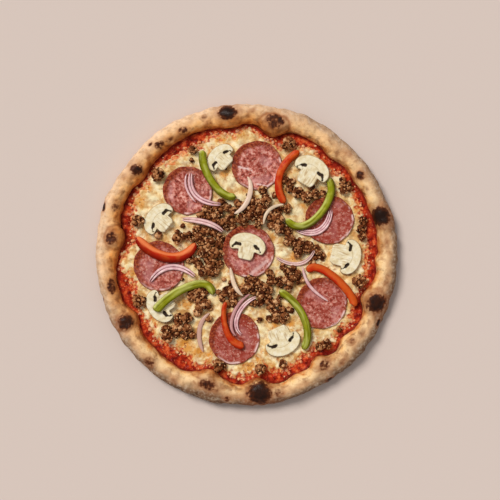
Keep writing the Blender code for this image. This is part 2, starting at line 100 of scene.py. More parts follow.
# Camera, light and floor
CAMERA_PLACE = (3.6 * MM, 4.94 * MM, 1.5)
CAMERA_LENS = 104.9
SENSOR_WIDTH = 36
SUN_DIRECTION = (0.5, -0.55, -1)
SUN_STRENGTH = 2.42
SUN_WIDTH = math.radians(24)  # for soft shadows
SUN_COLOUR = (1, 0.99, 0.97)
SKY_COLOUR = (1, 0.99, 1, 1)
SKY_STRENGTH = 0.37
UPPER_LEFT = math.radians(135)  # the side that the light comes from
SUNWARD = (-0.4, 0.75, 0.5)  # the way that the brightest sides of the strips face
FLOOR_REACH = 3
FLOOR_COLOURS = ((0.0, (216, 199, 189)), (1.0, (217, 200, 190)))
COAT_ROUGHNESS = 0.2  # of the gloss on wet toppings

# Lumps round the pizza: degrees from +X, millimetres, half width in degrees
RIM_BUBBLES = (
    (34, 2, 3), (49, 4, 5), (78.5, 12, 5.5), (97, 4.5, 4), (143, 3, 4), (172.5, 9.5, 5.5), (209, 7, 4),
    (253, 12, 6), (275, 8, 4), (292, 3, 4), (304, 8, 4), (320, 6, 4), (340, 10, 4.5), (357, 2.5, 3),
)
CHEESE_TONGUES = (
    (24, 3, 6), (38, 3.5, 3), (57, 4, 4), (91, 8.5, 5), (105, 4.5, 4), (136, 7, 4), (151, 8, 5),
    (183.5, 9, 4), (221, 2.5, 3), (246, 3, 3), (266, 2, 4), (314, 4, 3), (330, 3, 3), (348, 4, 3),
    (48, -3, 4), (71, -6, 5), (80, -4, 4), (112, -1, 4), (171.5, -7, 5), (196, -3, 3), (237, -5, 5),
    (256, -8, 4), (278, -5, 3), (300, -6, 4), (308, -7, 3), (340, -4.5, 5),
)

# Scorched spots on the rim: degrees, distance from the middle, length round the rim, width, darkness
SCORCH = (
    (16, 142, 21, 19, 1), (35, 141, 12, 11, 0.66), (78, 139, 21, 16, 0.68), (97.5, 146, 20, 15, 1),
    (107, 147, 7, 7, 0.4), (117, 142, 12, 8, 0.55), (128.5, 142, 12, 10, 0.62), (124, 141, 12, 7, 0.4),
    (142, 141.5, 13, 13, 0.82), (161.5, 154, 9, 4, 0.95), (160, 142, 11, 9, 0.42), (173, 138, 15, 14, 0.62),
    (193, 141, 17, 9, 0.66), (209, 141, 17, 16, 0.88), (228, 147, 13, 14, 0.5), (254, 138, 22, 12, 0.66),
    (262, 148, 8, 7, 0.6), (275.5, 141, 26, 24, 0.92), (283, 144, 16, 10, 0.42), (305.5, 138, 14, 11, 0.62),
    (304, 153, 10, 4, 0.8), (321, 138, 8, 7, 0.4), (333, 152, 8, 4, 0.9), (339.5, 141, 21, 20, 0.9),
    (131, 150, 5, 4, 0.75), (197, 153.5, 5, 3, 0.7), (4, 143, 14, 8, 0.3), (45, 146, 14, 8, 0.28),
    (88, 147, 12, 8, 0.3), (147, 147, 10, 8, 0.25), (183, 140, 12, 7, 0.3), (219, 137, 12, 6, 0.3),
    (240, 148, 12, 8, 0.3), (312, 146, 12, 8, 0.35), (326, 141, 14, 8, 0.3), (350, 145, 14, 8, 0.34),
)

# Bubbles with a crease round them: degrees, distance from the middle, length, width, depth of colour
CREASES = (
    (78, 135, 33, 23, 1), (172.5, 134, 25, 23, 0.9), (254, 132, 27, 22, 0.5), (340, 136.5, 27, 22, 0.6),
    (275.5, 140, 25, 25, 0.4), (304, 132, 22, 16, 0.6), (321, 137, 12, 10, 0.7), (209, 141, 20, 19, 0.5),
)

# How browned the rim's outer side is, in part painted shade on the side away from the light: degrees,
# strength
RIM_BROWNING_AND_SHADE = (
    (0, 0.7), (30, 0.5), (60, 0.3), (90, 0.1), (110, 0), (170, 0.1), (200, 0.5), (230, 0.95), (270, 0.95),
    (300, 0.8), (330, 0.8), (360, 0.7),
)
RIM_SHOULDER = 13 * MM  # below it, a burnt spot fades out on the rim's outer side

# Places in the cheese: x, y, radius
GOLDEN_CHEESE = (
    (-108, 55, 8), (-100, 68, 7), (-35, 108, 5), (-6, 125, 6), (-13, 120, 5), (-30, 118, 4), (-24, 117, 4),
    (115, 48, 7), (-62, -92, 12), (-50, -100, 9), (-38, -102, 6), (11, -106, 7), (0, -117, 7), (44, -71, 7),
)
MILKY_CHEESE = (
    (53, 46, 7), (38, 3, 7), (-42, -6, 4), (-66, 6, 6), (-15, 75, 9), (95, 82, 7), (-96, 55, 9), (60, -60, 8),
    (-95, -90, 8), (20, -80, 6),
)

# Mushroom slices: middle of the gills, degrees that the cap points to, width of the cap,
# and the stem's width and length as shares of it
MUSHROOMS = {
    "mushroom_1": (0.8, 7.9, 77, 38, 0.43, 0.34),
    "mushroom_2": (65.8, 85.5, 60, 38.5, 0.5, 0.41),
    "mushroom_3": (103, -1.8, -13, 37, 0.6, 0.46),
    "mushroom_4": (36.5, -88.4, -65, 38, 0.6, 0.4),
    "mushroom_5": (-86.9, -51.5, 213, 37, 0.5, 0.36),
    "mushroom_6": (-88.3, 35.6, 140, 37, 0.48, 0.32),
    "mushroom_7": (-25.8, 98.2, 137, 33, 0.55, 0.31),
}
CAP_TOP = 0.39  # the two below are shares of the cap's width
CAP_SHOULDER = 0.04
CAP_MIDDLE = 0.1  # from which every point of the outline can be seen

# Strips: the four points of a cubic curve along the middle, then the width
GREEN_PEPPERS = {
    "green_pepper_1": ((-44, 106), (-50, 92), (-28, 54), (-11, 60), 8),
    "green_pepper_2": ((82.5, 78), (100, 62), (58, 9), (40.5, 37), 8),
    "green_pepper_3": ((-92.5, -57.5), (-87, -45), (-37, -12), (-34.5, -41), 8.8),
    "green_pepper_4": ((33.5, -37), (53, -46.5), (71.5, -77), (57.5, -96.5), 7.8),
}
RED_PEPPERS = {
    "red_pepper_1": ((54, 105.5), (35, 96), (25, 71), (39.5, 53), 8),
    "red_pepper_2": ((-112, 18), (-99, -2), (-64, -14), (-52, 12), 10.5),
    "red_pepper_3": ((62.5, -17.5), (70.5, 1.5), (116, -43), (108.5, -52), 8.4),
    "red_pepper_4": ((-21, -48), (-27, -63), (-21, -92), (-2.5, -93), 8),
}
# How strongly the flesh shows on a strip's left side, seen from its first point
PEPPER_FLESH = {"red_pepper_1": 0.45, "red_pepper_3": 0.95, "red_pepper_4": 0.5}
# How dark one side of a strip is: the right one, seen from its first point, where above 0, else the left
PEPPER_SHADE = {
    "green_pepper_1": 0.8, "green_pepper_2": -0.9, "green_pepper_3": -0.5, "green_pepper_4": 0.6,
    "red_pepper_1": 0.15, "red_pepper_3": -0.45, "red_pepper_4": 0.3,
}
# The width at a strip's start and end, as shares of its width
PEPPER_ENDS = {"green_pepper_3": (1.12, 0.86), "red_pepper_4": (0.6, 1.06)}
# How a strip narrows to its ends: the share of each half of it that does, and how bluntly
PEPPER_TAPER = (0.16, 2)
TURNED_TAPER = (0.34, 2.2)
ONION_TAPER = (0.85, 2)
TURNED_PEPPER = "red_pepper_2"  # lies on its side, with its flesh along one edge

ONIONS = {
    "onion_1": ((-61, 83), (-65, 72), (-60, 62), (-51.5, 53.5), 2.6),
    "onion_2": ((-56.5, 84), (-61, 63), (-47, 52), (-26, 51.5), 5.8),
    "onion_3": ((-66, 36.5), (-54, 36), (-34, 34), (-24, 23.5), 5.6),
    "onion_4": ((1, 80), (9.5, 68), (0.5, 46), (-12.5, 42), 5.2),
    "onion_5": ((38, 51.5), (27, 50.5), (18, 45), (17.5, 31), 3.6),
    "onion_6": ((51, 26), (70, 17), (84, 26), (86, 46), 6.6),
    "onion_7": ((30, -2), (43, -12), (62, -14), (69, 4.5), 4),
    "onion_8": ((57, -11.5), (60, -31), (68, -37), (83.5, -47.5), 3.6),
    "onion_9": ((-98.5, -27.5), (-87, -8.5), (-68, -8), (-52.5, -22), 6.2),
    "onion_10": ((-16.5, -13), (-15, -22), (-13.5, -35), (-3.5, -41.5), 4.6),
    "onion_11": ((10, -43), (-6, -48.5), (-18.3, -72.6), (-5, -81.6), 4.4),
    "onion_12": ((3.5, -40), (-10.5, -47.5), (-22.6, -73), (-10.5, -82.5), 4),
    "onion_13": ((-37.5, -59.5), (-49.5, -67), (-51.5, -85), (-44, -99.5), 5),
}
# Their looks: layers side by side, how mauve, how purple at the layers' edges, how creamy
ONION_LOOKS = {
    "onion_1": (1, 0.1, 0.5, 0), "onion_2": (2, 0.6, 1, 0), "onion_3": (2, 0.3, 0.7, 0.2),
    "onion_4": (1, 0, 0, 0.8), "onion_5": (1, 0, 0.1, 1), "onion_6": (3, 0.15, 0.6, 0),
    "onion_7": (2, 0.2, 0.6, 0.3), "onion_8": (1, 0.2, 0.9, 0.1), "onion_9": (2, 0.3, 1, 0),
    "onion_10": (1, 0.1, 0.1, 1), "onion_11": (2, 0.1, 1, 0), "onion_12": (1, 1, 0.8, 0),
    "onion_13": (1, 0.7, 0.2, 0.9),
}

# Pale fat streaks, and painted highlights on glossy folds and up-curled edges of the salami: both ends' x and
# y, then the width
SALAMI_STREAKS_AND_GLINTS = (
    (-8, 90, 2, 87.5, 2.4), (2, 87.5, 5, 86, 1.6), (11, 72.5, 22, 70, 1.8), (28, 74, 31, 84, 1.6),
    (4, -20.5, 21, -6, 5), (-2, -111, 9, -106, 2), (9, -106, 13, -97, 1.6),
    (92, -71, 101, -60, 2.2), (82, -75, 92, -71, 1.6), (-71, -33, -58, -26, 2), (-66, -36, -60, -32, 1.8),
    (100, 15, 108, 27, 1.8), (-49, 42, -40, 45, 1.6), (-33, -66, -28, -60, 4.5),
)

# How much redder than its pattern each salami slice is
SALAMI_REDNESS = (0.1, 0, 0.35, 0.4, 0.9, 0.55, 0.95)

# Lumps of mince beside and between the heaps: x, y, radius
LOOSE_MINCE = (
    (-56, 97.5, 2.8), (-90, 20, 4), (-71, 23, 3), (-65.5, 30, 2), (-85, -76, 3), (-85, -83, 3), (-38, -54, 3),
    (-38.5, -65.5, 3.5), (37, -111.5, 4.5), (13, -66, 3), (95, -76.5, 2.5), (77, -1, 4), (33, 40, 3),
    (106, 68, 3), (23, -65, 3.3), (43.5, -56, 2.5), (-23, -25, 1.5), (-66, -25, 1.3), (-22, 89, 2.6),
    (45, -57, 2.5), (-49.6, 24.4, 6.5), (-42, 24, 5.5), (-32.4, 23.3, 5.5), (-26.7, 17.5, 4.5),
    (-33.6, 32, 4), (-19.9, 48.4, 5.5), (-8.4, 51.9, 5), (-13, 45, 4.5), (3, 60, 4), (16.8, 66, 5),
    (41.9, 47, 5), (34, 47, 4.5), (25.9, 29.5, 5), (42, 24.4, 5), (69.4, -1.5, 4.5), (67, -7.6, 3.5),
    (-58, -4, 5), (-50, -8, 5.5), (-29, 10.7, 5), (-27, 0.4, 4.5), (-27.5, -9, 4.5), (-19.9, 29, 4.5),
    (39.7, 76, 4.5), (46.5, 75.5, 3.5), (66, 70, 3.5), (78, 62, 4), (57, -26, 3), (23.6, -19, 4.5),
    (37.4, -12.2, 3.5), (-15.3, -29.4, 4), (-50.2, -37.4, 5.5), (-43.3, -37.8, 4.5), (-56, -39.5, 4),
    (-45.6, -43, 5), (-25, -44.3, 4), (-19.3, -50, 4), (-12.4, -48.8, 5), (-13.5, -43, 5), (-28.4, -38.5, 3),
    (7, -49, 4.5), (14, -49, 5), (22, -42, 4), (30, -66, 4.5), (36.5, -67, 4), (-50.2, -59.5, 4.5),
    (-55.9, -82, 4.5), (-63, -82, 4.5), (-71.9, -81, 4.5), (3, -25.5, 5.5), (52.8, -27, 3), (29, 61, 3),
    (12, 30, 4), (-14, 29.5, 4), (46, 31, 3), (-2, 31.5, 4), (9, -26, 4.5), (34, -42, 3.5), (49, -12, 3),
)

# Grains of mince: segments and rings of each, spacing, smallest and largest radius, share sunk in
COARSE_GRAINS = (7, 4, 3.1, 1.5, 2.5, 0.7)
FINE_GRAINS = (5, 3, 1.9, 0.7, 1.25, 0.45)
# Painted shade: the cores that the grains sit on are dark, for the shade in the gaps between grains
GAP_SHADE_TINT = 0.1  # of the dark cores that the grains sit on
CORE_INSET = 0.5 * MM

number_draw = np.random.default_rng(SEED)


# Numbers and noise

def ease(low, high, value):
    """Runs smoothly from 0 at low to 1 at high."""
    share = np.clip((value - low) / (high - low), 0, 1)
    return share * share * (3 - 2 * share)


def rough(points, size, shift=0.0):
    """Smooth noise of about -0.7 to 0.7 at each point, with features of this size."""
    shape = points.shape[:-1]
    places = (points.reshape(-1, 3) / size + shift).tolist()
    return np.array([noise.noise(place) for place in places]).reshape(shape)


def beads(points, size, shift=0.0):
    """Rounded grains: 1 at the middle of each, 0 between them."""
    shape = points.shape[:-1]
    places = (points.reshape(-1, 3) / size + shift).tolist()
    near = np.array([noise.voronoi(place)[0][0] for place in places]).reshape(shape)
    return np.clip(1 - 1.4 * near, 0, 1)


def flat(points):
    """The points at height 0, so that noise on a layer doesn't change with its height."""
    level = points.copy()
    level[..., 2] = 0
    return level


def angles_round(count):
    return np.linspace(0, 2 * math.pi, count, endpoint=False)


def polar(radius, angle, height):
    radius, angle, height = np.broadcast_arrays(radius, angle, height)
    return np.stack([radius * np.cos(angle), radius * np.sin(angle), height], axis=-1)


def turned_from(turned, degrees):
    """Angles in degrees, counted from another one, from -180 to 180."""
    return (turned - degrees + 180) % 360 - 180


def near_line(across, along, start, end):
    """How far each point is from the straight line between two points."""
    start, way = np.array(start), np.array(end) - start
    share = ((across - start[0]) * way[0] + (along - start[1]) * way[1]) / (way @ way)
    share = np.clip(share, 0, 1)
    return np.hypot(across - start[0] - share * way[0], along - start[1] - share * way[1])


def spots(points, places):
    """The strongest of round soft spots, each 1 at its middle and 0 at its radius."""
    best = np.zeros(points.shape[:-1])
    for x, y, radius in places:
        away = np.hypot(points[..., 0] - x * MM, points[..., 1] - y * MM) / (radius * MM)
        best = np.maximum(best, ease(1.25, 0.1, away))
    return best


def lumps_round(angle, lumps):
    """The lumps' reach in metres at each angle in radians."""
    total = np.zeros_like(angle)
    for degrees, reach, half_width in lumps:
        away = turned_from(np.degrees(angle), degrees)
        total += reach * MM * 0.5 ** ((away / half_width) ** 2)
    return total


def rim_inside(angle):
    return INNER_RADIUS - lumps_round(angle, RIM_BUBBLES) + 0.6 * MM * np.sin(9 * angle + 1)


def rim_outside(angle):
    sway = 0.3 * np.sin(3 * angle + 2) + 0.3 * np.sin(7 * angle) + 0.25 * np.sin(13 * angle + 4)
    return OUTER_RADIUS + (sway - 0.2) * MM


def cheese_edge(angle):
    ripple = 0.7 * MM * np.sin(23 * angle) * np.sin(5 * angle + 1)
    reach = CHEESE_RADIUS + lumps_round(angle, CHEESE_TONGUES) + ripple
    return np.minimum(reach, rim_inside(angle) - 3 * MM)


# Meshes

def normals_of(grid):
    down = np.gradient(grid, axis=0)
    along = np.roll(grid, -1, axis=1) - np.roll(grid, 1, axis=1)
    normal = np.cross(down, along)
    return normal / np.maximum(np.linalg.norm(normal, axis=-1, keepdims=True), 1e-12)


def closed_grids(name, grids, fields):
    """One mesh of closed skins. Each grid's columns close round, and its first and last rows close up."""
    points, faces, values, first = [], [], {label: [] for label in fields[0]}, 0
    for grid, marks in zip(grids, fields):
        rows, columns = grid.shape[:2]
        index = first + np.arange(rows * columns).reshape(rows, columns)
        start, end = first + rows * columns, first + rows * columns + 1
        beside = np.roll(index, -1, axis=1)
        quads = np.stack([index[:-1], index[1:], beside[1:], beside[:-1]], axis=-1)
        faces += quads.reshape(-1, 4).tolist()
        faces += [(start, a, b) for a, b in zip(index[0].tolist(), beside[0].tolist())]
        faces += [(end, b, a) for a, b in zip(index[-1].tolist(), beside[-1].tolist())]
        points += [grid.reshape(-1, 3), grid[:1].mean(axis=1), grid[-1:].mean(axis=1)]
        for label, field in marks.items():
            field = np.broadcast_to(field, (rows, columns))
            values[label] += [field.ravel(), [field[0].mean(), field[-1].mean()]]
        first = end + 1
    mesh = bpy.data.meshes.new(name)
    mesh.from_pydata(np.concatenate(points).tolist(), [], faces)
    for label, parts in values.items():
        mark_points(mesh, label, np.concatenate(parts))
    return mesh


def with_underside(grid, under, fields):
    """The grid and its fields with the underside's rows added, where every field is 0."""
    empty = np.zeros(under.shape[:2])
    fields = {label: np.concatenate([field, empty]) for label, field in fields.items()}
    return np.concatenate([grid, under]), fields


def mark_points(mesh, label, values):
    mesh.attributes.new(label, "FLOAT", "POINT").data.foreach_set("value", values.astype(np.float32))


def points_of(mesh):
    run = np.empty(3 * len(mesh.vertices), np.float32)
    mesh.vertices.foreach_get("co", run)
    return run.reshape(-1, 3).astype(float)


def dressed(name, mesh, material, slot, *nodes):
    """Puts the piece in the scene with its material, riding on the pizza in place of the nodes."""
    mesh.materials.append(material)
    mesh.shade_smooth()
    obj = bpy.data.objects.new(name, mesh)
    bpy.context.scene.collection.objects.link(obj)
    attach(obj, "root")
    if nodes:
        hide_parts(*nodes)


def solid_tree(*nodes):
    """The solids of these nodes, for finding their heights."""
    points, faces = [], []
    for node in nodes:
        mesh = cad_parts[node].data
        mesh.calc_loop_triangles()
        first = len(points)
        points += [vert.co.copy() for vert in mesh.vertices]
        faces += [[first + i for i in triangle.vertices] for triangle in mesh.loop_triangles]
    return BVHTree.FromPolygons(points, faces)


def heights(tree, places, upward):
    """The height of the solids at each place, met from below if upward, else from above."""
    start, way = (-1, 1) if upward else (1, -1)
    found = []
    for x, y in places:
        hit = tree.ray_cast(Vector((x, y, start)), Vector((0, 0, way)))[0]
        found.append(hit.z if hit else np.nan)
    found = np.array(found)
    known = np.flatnonzero(np.isfinite(found))
    return np.interp(np.arange(len(found)), known, found[known])


def underside_points(node):
    """The lowest point of the node's solid at each place where it has vertices."""
    lowest = {}
    for x, y, z in points_of(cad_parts[node].data):
        key = (round(x / MM, 1), round(y / MM, 1))
        if key not in lowest or z < lowest[key][2]:
            lowest[key] = (x, y, z)
    return np.array(list(lowest.values()))


def blended_heights(known, points):
    """Heights at the points, blended from the known points by nearness."""
    softness = 3 * MM
    away = np.hypot(*(points[..., None, axis] - known[:, axis] for axis in (0, 1)))
    near = 1 / (away**2 + softness**2) ** 1.5
    return (near * known[:, 2]).sum(axis=-1) / near.sum(axis=-1)


# Materials

def paint(red, green, blue):
    """The linear colour of one given in 8-bit sRGB."""
    shares = [value / 255 for value in (red, green, blue)]
    return [share / 12.92 if share < 0.04 else ((share + 0.055) / 1.055) ** 2.4 for share in shares] + [1]


class Shade:
    """A material, with short calls for the nodes that the food uses. Sizes are in millimetres."""

    def __init__(self, name, specular, coat=0.0):
        self.material = bpy.data.materials.new(name)
        self.material.use_nodes = True
        self.nodes = self.material.node_tree.nodes
        self.links = self.material.node_tree.links
        self.shader = self.nodes["Principled BSDF"]
        self.shader.inputs["Specular IOR Level"].default_value = specular
        self.shader.inputs["Coat Weight"].default_value = coat
        self.shader.inputs["Coat Roughness"].default_value = COAT_ROUGHNESS
        self.place = self.nodes.new("ShaderNodeTexCoord").outputs["Object"]

    def put(self, socket, value):
        if isinstance(value, bpy.types.NodeSocket):
            self.links.new(value, socket)
        else:
            socket.default_value = value

    def field(self, label):
        node = self.nodes.new("ShaderNodeAttribute")
        node.attribute_name = label
        return node.outputs["Fac"]

    def noise(self, size, detail, distortion=0.0):
        node = self.nodes.new("ShaderNodeTexNoise")
        self.links.new(self.place, node.inputs["Vector"])
        node.inputs["Scale"].default_value = 1 / (size * MM)
        node.inputs["Detail"].default_value = detail
        node.inputs["Distortion"].default_value = distortion
        return node.outputs["Fac"]

    def math(self, operation, first, second):
        node = self.nodes.new("ShaderNodeMath")
        node.operation = operation
        self.put(node.inputs[0], first)
        self.put(node.inputs[1], second)
        return node.outputs[0]

    def window(self, value, low, high):
        """0 where the value is at low, 1 where it is at high."""
        node = self.nodes.new("ShaderNodeMapRange")
        node.interpolation_type = "SMOOTHSTEP"
        self.put(node.inputs["Value"], value)
        node.inputs["From Min"].default_value = min(low, high)
        node.inputs["From Max"].default_value = max(low, high)
        node.inputs["To Min"].default_value = 0 if low < high else 1
        node.inputs["To Max"].default_value = 1 if low < high else 0
        return node.outputs["Result"]

    def patches(self, size, detail, low, high, distortion=0.0):
        """Noise as patches: 0 where it is at low, 1 where it is at high."""
        return self.window(self.noise(size, detail, distortion), low, high)

    def sway(self, size, detail, reach):
        """Noise around 0, by up to half the reach."""
        return self.math("MULTIPLY", self.math("SUBTRACT", self.noise(size, detail), 0.5), reach)

    def ramp(self, value, *stops):
        """Colours in 8-bit sRGB at places from 0 to 1."""
        node = self.nodes.new("ShaderNodeValToRGB")
        self.put(node.inputs["Fac"], value)
        elements = node.color_ramp.elements
        while len(elements) < len(stops):
            elements.new(0.5)
        for element, (position, colour) in zip(elements, stops):
            element.position = position
            element.color = paint(*colour)
        return node.outputs["Color"]

    def layer(self, under, over, *shares):
        """The colour under, covered by the colour over as far as the product of the shares."""
        cover = shares[0]
        for share in shares[1:]:
            cover = self.math("MULTIPLY", cover, share)
        node = self.nodes.new("ShaderNodeMix")
        node.data_type = "RGBA"
        self.put(node.inputs["Factor"], cover)
        colour_inputs = [socket for socket in node.inputs if socket.type == "RGBA"]
        for socket, colour in zip(colour_inputs, (under, over)):
            self.put(socket, paint(*colour) if isinstance(colour, tuple) else colour)
        return [socket for socket in node.outputs if socket.type == "RGBA"][0]

    def finished(self, colour, roughness, size, detail, depth):
        """The material, with fine relief of this size and this depth in millimetres."""
        bump = self.nodes.new("ShaderNodeBump")
        bump.inputs["Distance"].default_value = depth * MM
        self.put(bump.inputs["Height"], self.noise(size, detail))
        self.put(self.shader.inputs["Normal"], bump.outputs["Normal"])
        self.put(self.shader.inputs["Base Color"], colour)
        self.put(self.shader.inputs["Roughness"], roughness)
        return self.material


def crust_material():
    shade = Shade("baked_crust", specular=0.1)
    place = shade.math("ADD", shade.field("across"), shade.sway(8, 3, 0.6))
    sunny = shade.ramp(place, (0.0, (236, 152, 80)), (0.12, (250, 202, 136)), (0.32, (250, 214, 162)),
                       (0.55, (234, 190, 140)), (0.8, (202, 162, 124)), (1.0, (164, 128, 96)))
    shaded = shade.ramp(place, (0.0, (220, 118, 48)), (0.16, (248, 164, 84)), (0.34, (250, 190, 124)),
                        (0.55, (246, 198, 146)), (0.8, (248, 206, 162)), (1.0, (244, 206, 170)))
    band = shade.layer(sunny, shaded, shade.field("shadow"))
    # Browning of the rim's outer side, partly real and partly painted shade
    band = shade.layer(band, (100, 68, 46), shade.field("toast_and_shade"))
    inner = shade.window(place, 0.8, 0.3)
    band = shade.layer(band, (164, 88, 36), inner, shade.patches(12, 5, 0.43, 0.64), 0.56)
    band = shade.layer(band, (112, 58, 26), inner, shade.patches(6, 6, 0.5, 0.7, distortion=0.4), 0.52)
    flour = shade.field("flour")
    band = shade.layer(band, (136, 96, 68), flour, shade.patches(6, 5, 0.42, 0.66), 0.8)
    band = shade.layer(band, (240, 218, 190), flour, shade.patches(2.8, 5, 0.42, 0.7), 0.8)
    band = shade.layer(band, (126, 78, 46), shade.patches(1.8, 3, 0.54, 0.74), 0.25)
    band = shade.layer(band, (142, 66, 20), shade.field("crease"))
    band = shade.layer(band, (138, 40, 10), shade.field("stain"))
    scorch = shade.field("scorch")
    half_burnt = shade.math("MULTIPLY", shade.window(scorch, 0.2, 0.6), shade.window(scorch, 1.1, 0.5))
    dark = shade.math("ADD", scorch, shade.math("MULTIPLY", shade.sway(3.4, 5, 1.8), half_burnt))
    burnt = shade.ramp(dark, (0.0, (192, 116, 58)), (0.25, (154, 84, 40)), (0.45, (114, 58, 28)),
                       (0.65, (80, 38, 18)), (0.85, (54, 26, 14)), (1.0, (38, 22, 16)))
    colour = shade.layer(band, burnt, shade.window(dark, -0.05, 0.6))
    return shade.finished(colour, shade.window(scorch, 2.0, -0.8), 1.8, 4, 0.4)


def sauce_material():
    shade = Shade("tomato_sauce", specular=0.1, coat=0.05)
    body = shade.ramp(shade.noise(6, 5), (0.34, (104, 14, 6)), (0.45, (156, 34, 12)), (0.55, (196, 60, 22)),
                      (0.68, (226, 106, 52)))
    body = shade.layer(body, (228, 128, 78), shade.patches(2.2, 3, 0.57, 0.72), 0.8)
    body = shade.layer(body, (86, 8, 2), shade.patches(1.8, 3, 0.46, 0.34), 0.5)
    # Painted shade where the sauce meets the rim's foot
    body = shade.layer(body, (104, 14, 3), shade.field("rim_foot_shade"))
    return shade.finished(body, shade.patches(3, 2, 1.3, 0.1), 1.6, 3, 0.7)


def cheese_material():
    shade = Shade("melted_cheese", specular=0.2, coat=0.08)
    body = shade.ramp(shade.noise(9, 4, distortion=0.6), (0.34, (212, 156, 88)), (0.43, (232, 190, 124)),
                      (0.5, (247, 219, 160)), (0.62, (254, 236, 192)))
    body = shade.layer(body, (253, 240, 196), shade.field("milky"), 0.85)
    # Painted shade in the hollows between the lumps
    body = shade.layer(body, (184, 126, 62), shade.field("hollow_shade"), shade.patches(4, 4, 0.32, 0.6), 0.65)
    body = shade.layer(body, (176, 108, 54), shade.patches(3.4, 4, 0.58, 0.72), 0.65)
    golden = shade.field("golden")
    body = shade.layer(body, (222, 148, 56), golden, shade.patches(3.6, 4, 0.32, 0.55))
    body = shade.layer(body, (152, 80, 30), golden, shade.patches(2.8, 3, 0.55, 0.68))
    red = shade.ramp(shade.noise(2.8, 4), (0.36, (156, 34, 10)), (0.48, (206, 86, 36)),
                     (0.58, (230, 148, 84)), (0.7, (244, 188, 128)))
    body = shade.layer(body, red, shade.field("thin"))
    return shade.finished(body, shade.patches(4, 2, 1.5, -0.2), 2.8, 3, 0.36)


def salami_material():
    shade = Shade("salami", specular=0.16, coat=0.08)
    body = shade.ramp(shade.noise(3.2, 5), (0.36, (122, 38, 26)), (0.45, (168, 78, 62)),
                      (0.55, (206, 120, 104)), (0.65, (238, 176, 160)))
    body = shade.layer(body, (216, 158, 156), shade.field("pale"), 0.5)
    body = shade.layer(body, (140, 48, 32), shade.patches(11, 3, 0.42, 0.62), 0.4)
    body = shade.layer(body, (150, 50, 32), shade.field("red"))
    body = shade.layer(body, (232, 176, 156), shade.patches(2.3, 5, 0.54, 0.68, distortion=0.7), 0.6)
    # The real dark rind, with painted shade where the cupped edge turns from the light
    rind_and_shade = shade.ramp(shade.noise(2.2, 4), (0.36, (102, 26, 2)), (0.5, (136, 46, 14)), (0.64, (174, 86, 44)))
    body = shade.layer(body, rind_and_shade, shade.field("rind_and_shade"))
    # Fat streaks, with painted highlights on folds and on the lower-right edges
    body = shade.layer(body, (240, 206, 198), shade.field("fat_and_glint"))
    return shade.finished(body, shade.patches(5, 2, 1.5, -0.1), 1.8, 3, 0.5)


def mushroom_material():
    shade = Shade("mushroom", specular=0.15)
    body = shade.ramp(shade.noise(4, 4), (0.3, (224, 202, 158)), (0.5, (238, 222, 184)),
                      (0.7, (246, 236, 210)))
    body = shade.layer(body, (176, 136, 84), shade.field("grain"), 0.55)
    body = shade.layer(body, (150, 116, 70), shade.field("skin"))
    body = shade.layer(body, (50, 32, 18), shade.field("gill"))
    return shade.finished(body, 0.5, 1.4, 3, 0.3)


def pepper_material(name, skin, flesh, dark, pale, lines):
    shade = Shade(name, specular=0.06, coat=0.05)
    body = shade.layer(skin, flesh, shade.patches(8, 3, 0.42, 0.72))
    body = shade.layer(body, flesh, shade.field("flesh"))
    body = shade.layer(body, dark, shade.field("shaded"))
    body = shade.layer(body, dark, shade.field("stripe"), lines)
    body = shade.layer(body, pale, shade.field("lit"))
    return shade.finished(body, shade.patches(4, 2, 1.6, -0.4), 2.2, 3, 0.3)


def onion_material():
    shade = Shade("red_onion", specular=0.2, coat=0.1)
    body = shade.ramp(shade.noise(4, 3), (0.3, (218, 162, 166)), (0.5, (238, 192, 192)),
                      (0.7, (250, 218, 212)))
    body = shade.layer(body, (226, 199, 168), shade.field("cream"))
    body = shade.layer(body, (184, 122, 116), shade.field("mauve"))
    body = shade.layer(body, (120, 56, 74), shade.field("purple"))
    return shade.finished(body, 0.3, 2, 2, 0.12)


def mince_material():
    shade = Shade("browned_mince", specular=0.08)
    tint = shade.math("MULTIPLY", shade.field("tint"), 0.62)
    tone = shade.math("ADD", tint, shade.math("MULTIPLY", shade.noise(1.8, 4), 0.5))
    body = shade.ramp(tone, (0.25, (50, 18, 4)), (0.42, (94, 44, 18)), (0.6, (142, 82, 44)),
                      (0.76, (188, 128, 80)), (0.92, (232, 184, 134)))
    return shade.finished(body, shade.patches(2.5, 2, 1.4, -0.1), 0.9, 3, 0.4)


# Pieces

def rim_profile():
    """(radius, height) from the rim's inner foot over the top to the underside, rounded."""
    middle = (INNER_RADIUS + OUTER_RADIUS) / 2
    half_width = (OUTER_RADIUS - INNER_RADIUS) / 2
    line = [(INNER_RADIUS - 3 * MM, BASE_HEIGHT), (INNER_RADIUS, BASE_HEIGHT)]
    for degrees in (168, 146, 124, 102, 80, 57, 32, 6):
        turn = math.radians(degrees)
        across = math.copysign(abs(math.cos(turn)) ** 0.85, math.cos(turn))
        line.append((middle + half_width * across, RIM_BELLY + (RIM_HEIGHT - RIM_BELLY) * math.sin(turn)))
    line += [(OUTER_RADIUS - 1 * MM, RIM_BELLY / 2), (OUTER_RADIUS - 3.4 * MM, 1.2 * MM)]
    line += [(UNDERSIDE_RADIUS, 0), (UNDERSIDE_RADIUS - 3 * MM, 0)]
    line = np.array(line)
    for _ in range(3):
        cut = np.stack([0.75 * line[:-1] + 0.25 * line[1:], 0.25 * line[:-1] + 0.75 * line[1:]], axis=1)
        line = np.concatenate([line[:1], cut.reshape(-1, 2), line[-1:]])
    length = np.concatenate([[0], np.cumsum(np.hypot(*np.diff(line, axis=0).T))])
    steps = np.linspace(0, length[-1], 84)
    return np.column_stack([np.interp(steps, length, line[:, axis]) for axis in (0, 1)])


def from_spot(turned, distance, degrees, radius, length, width):
    """How far points are from the middle of an oval spot on the rim, as shares of its half size."""
    along = np.radians(turned_from(turned, degrees)) * radius
    return np.hypot(along / (length / 2), (distance / MM - radius) / (width / 2))


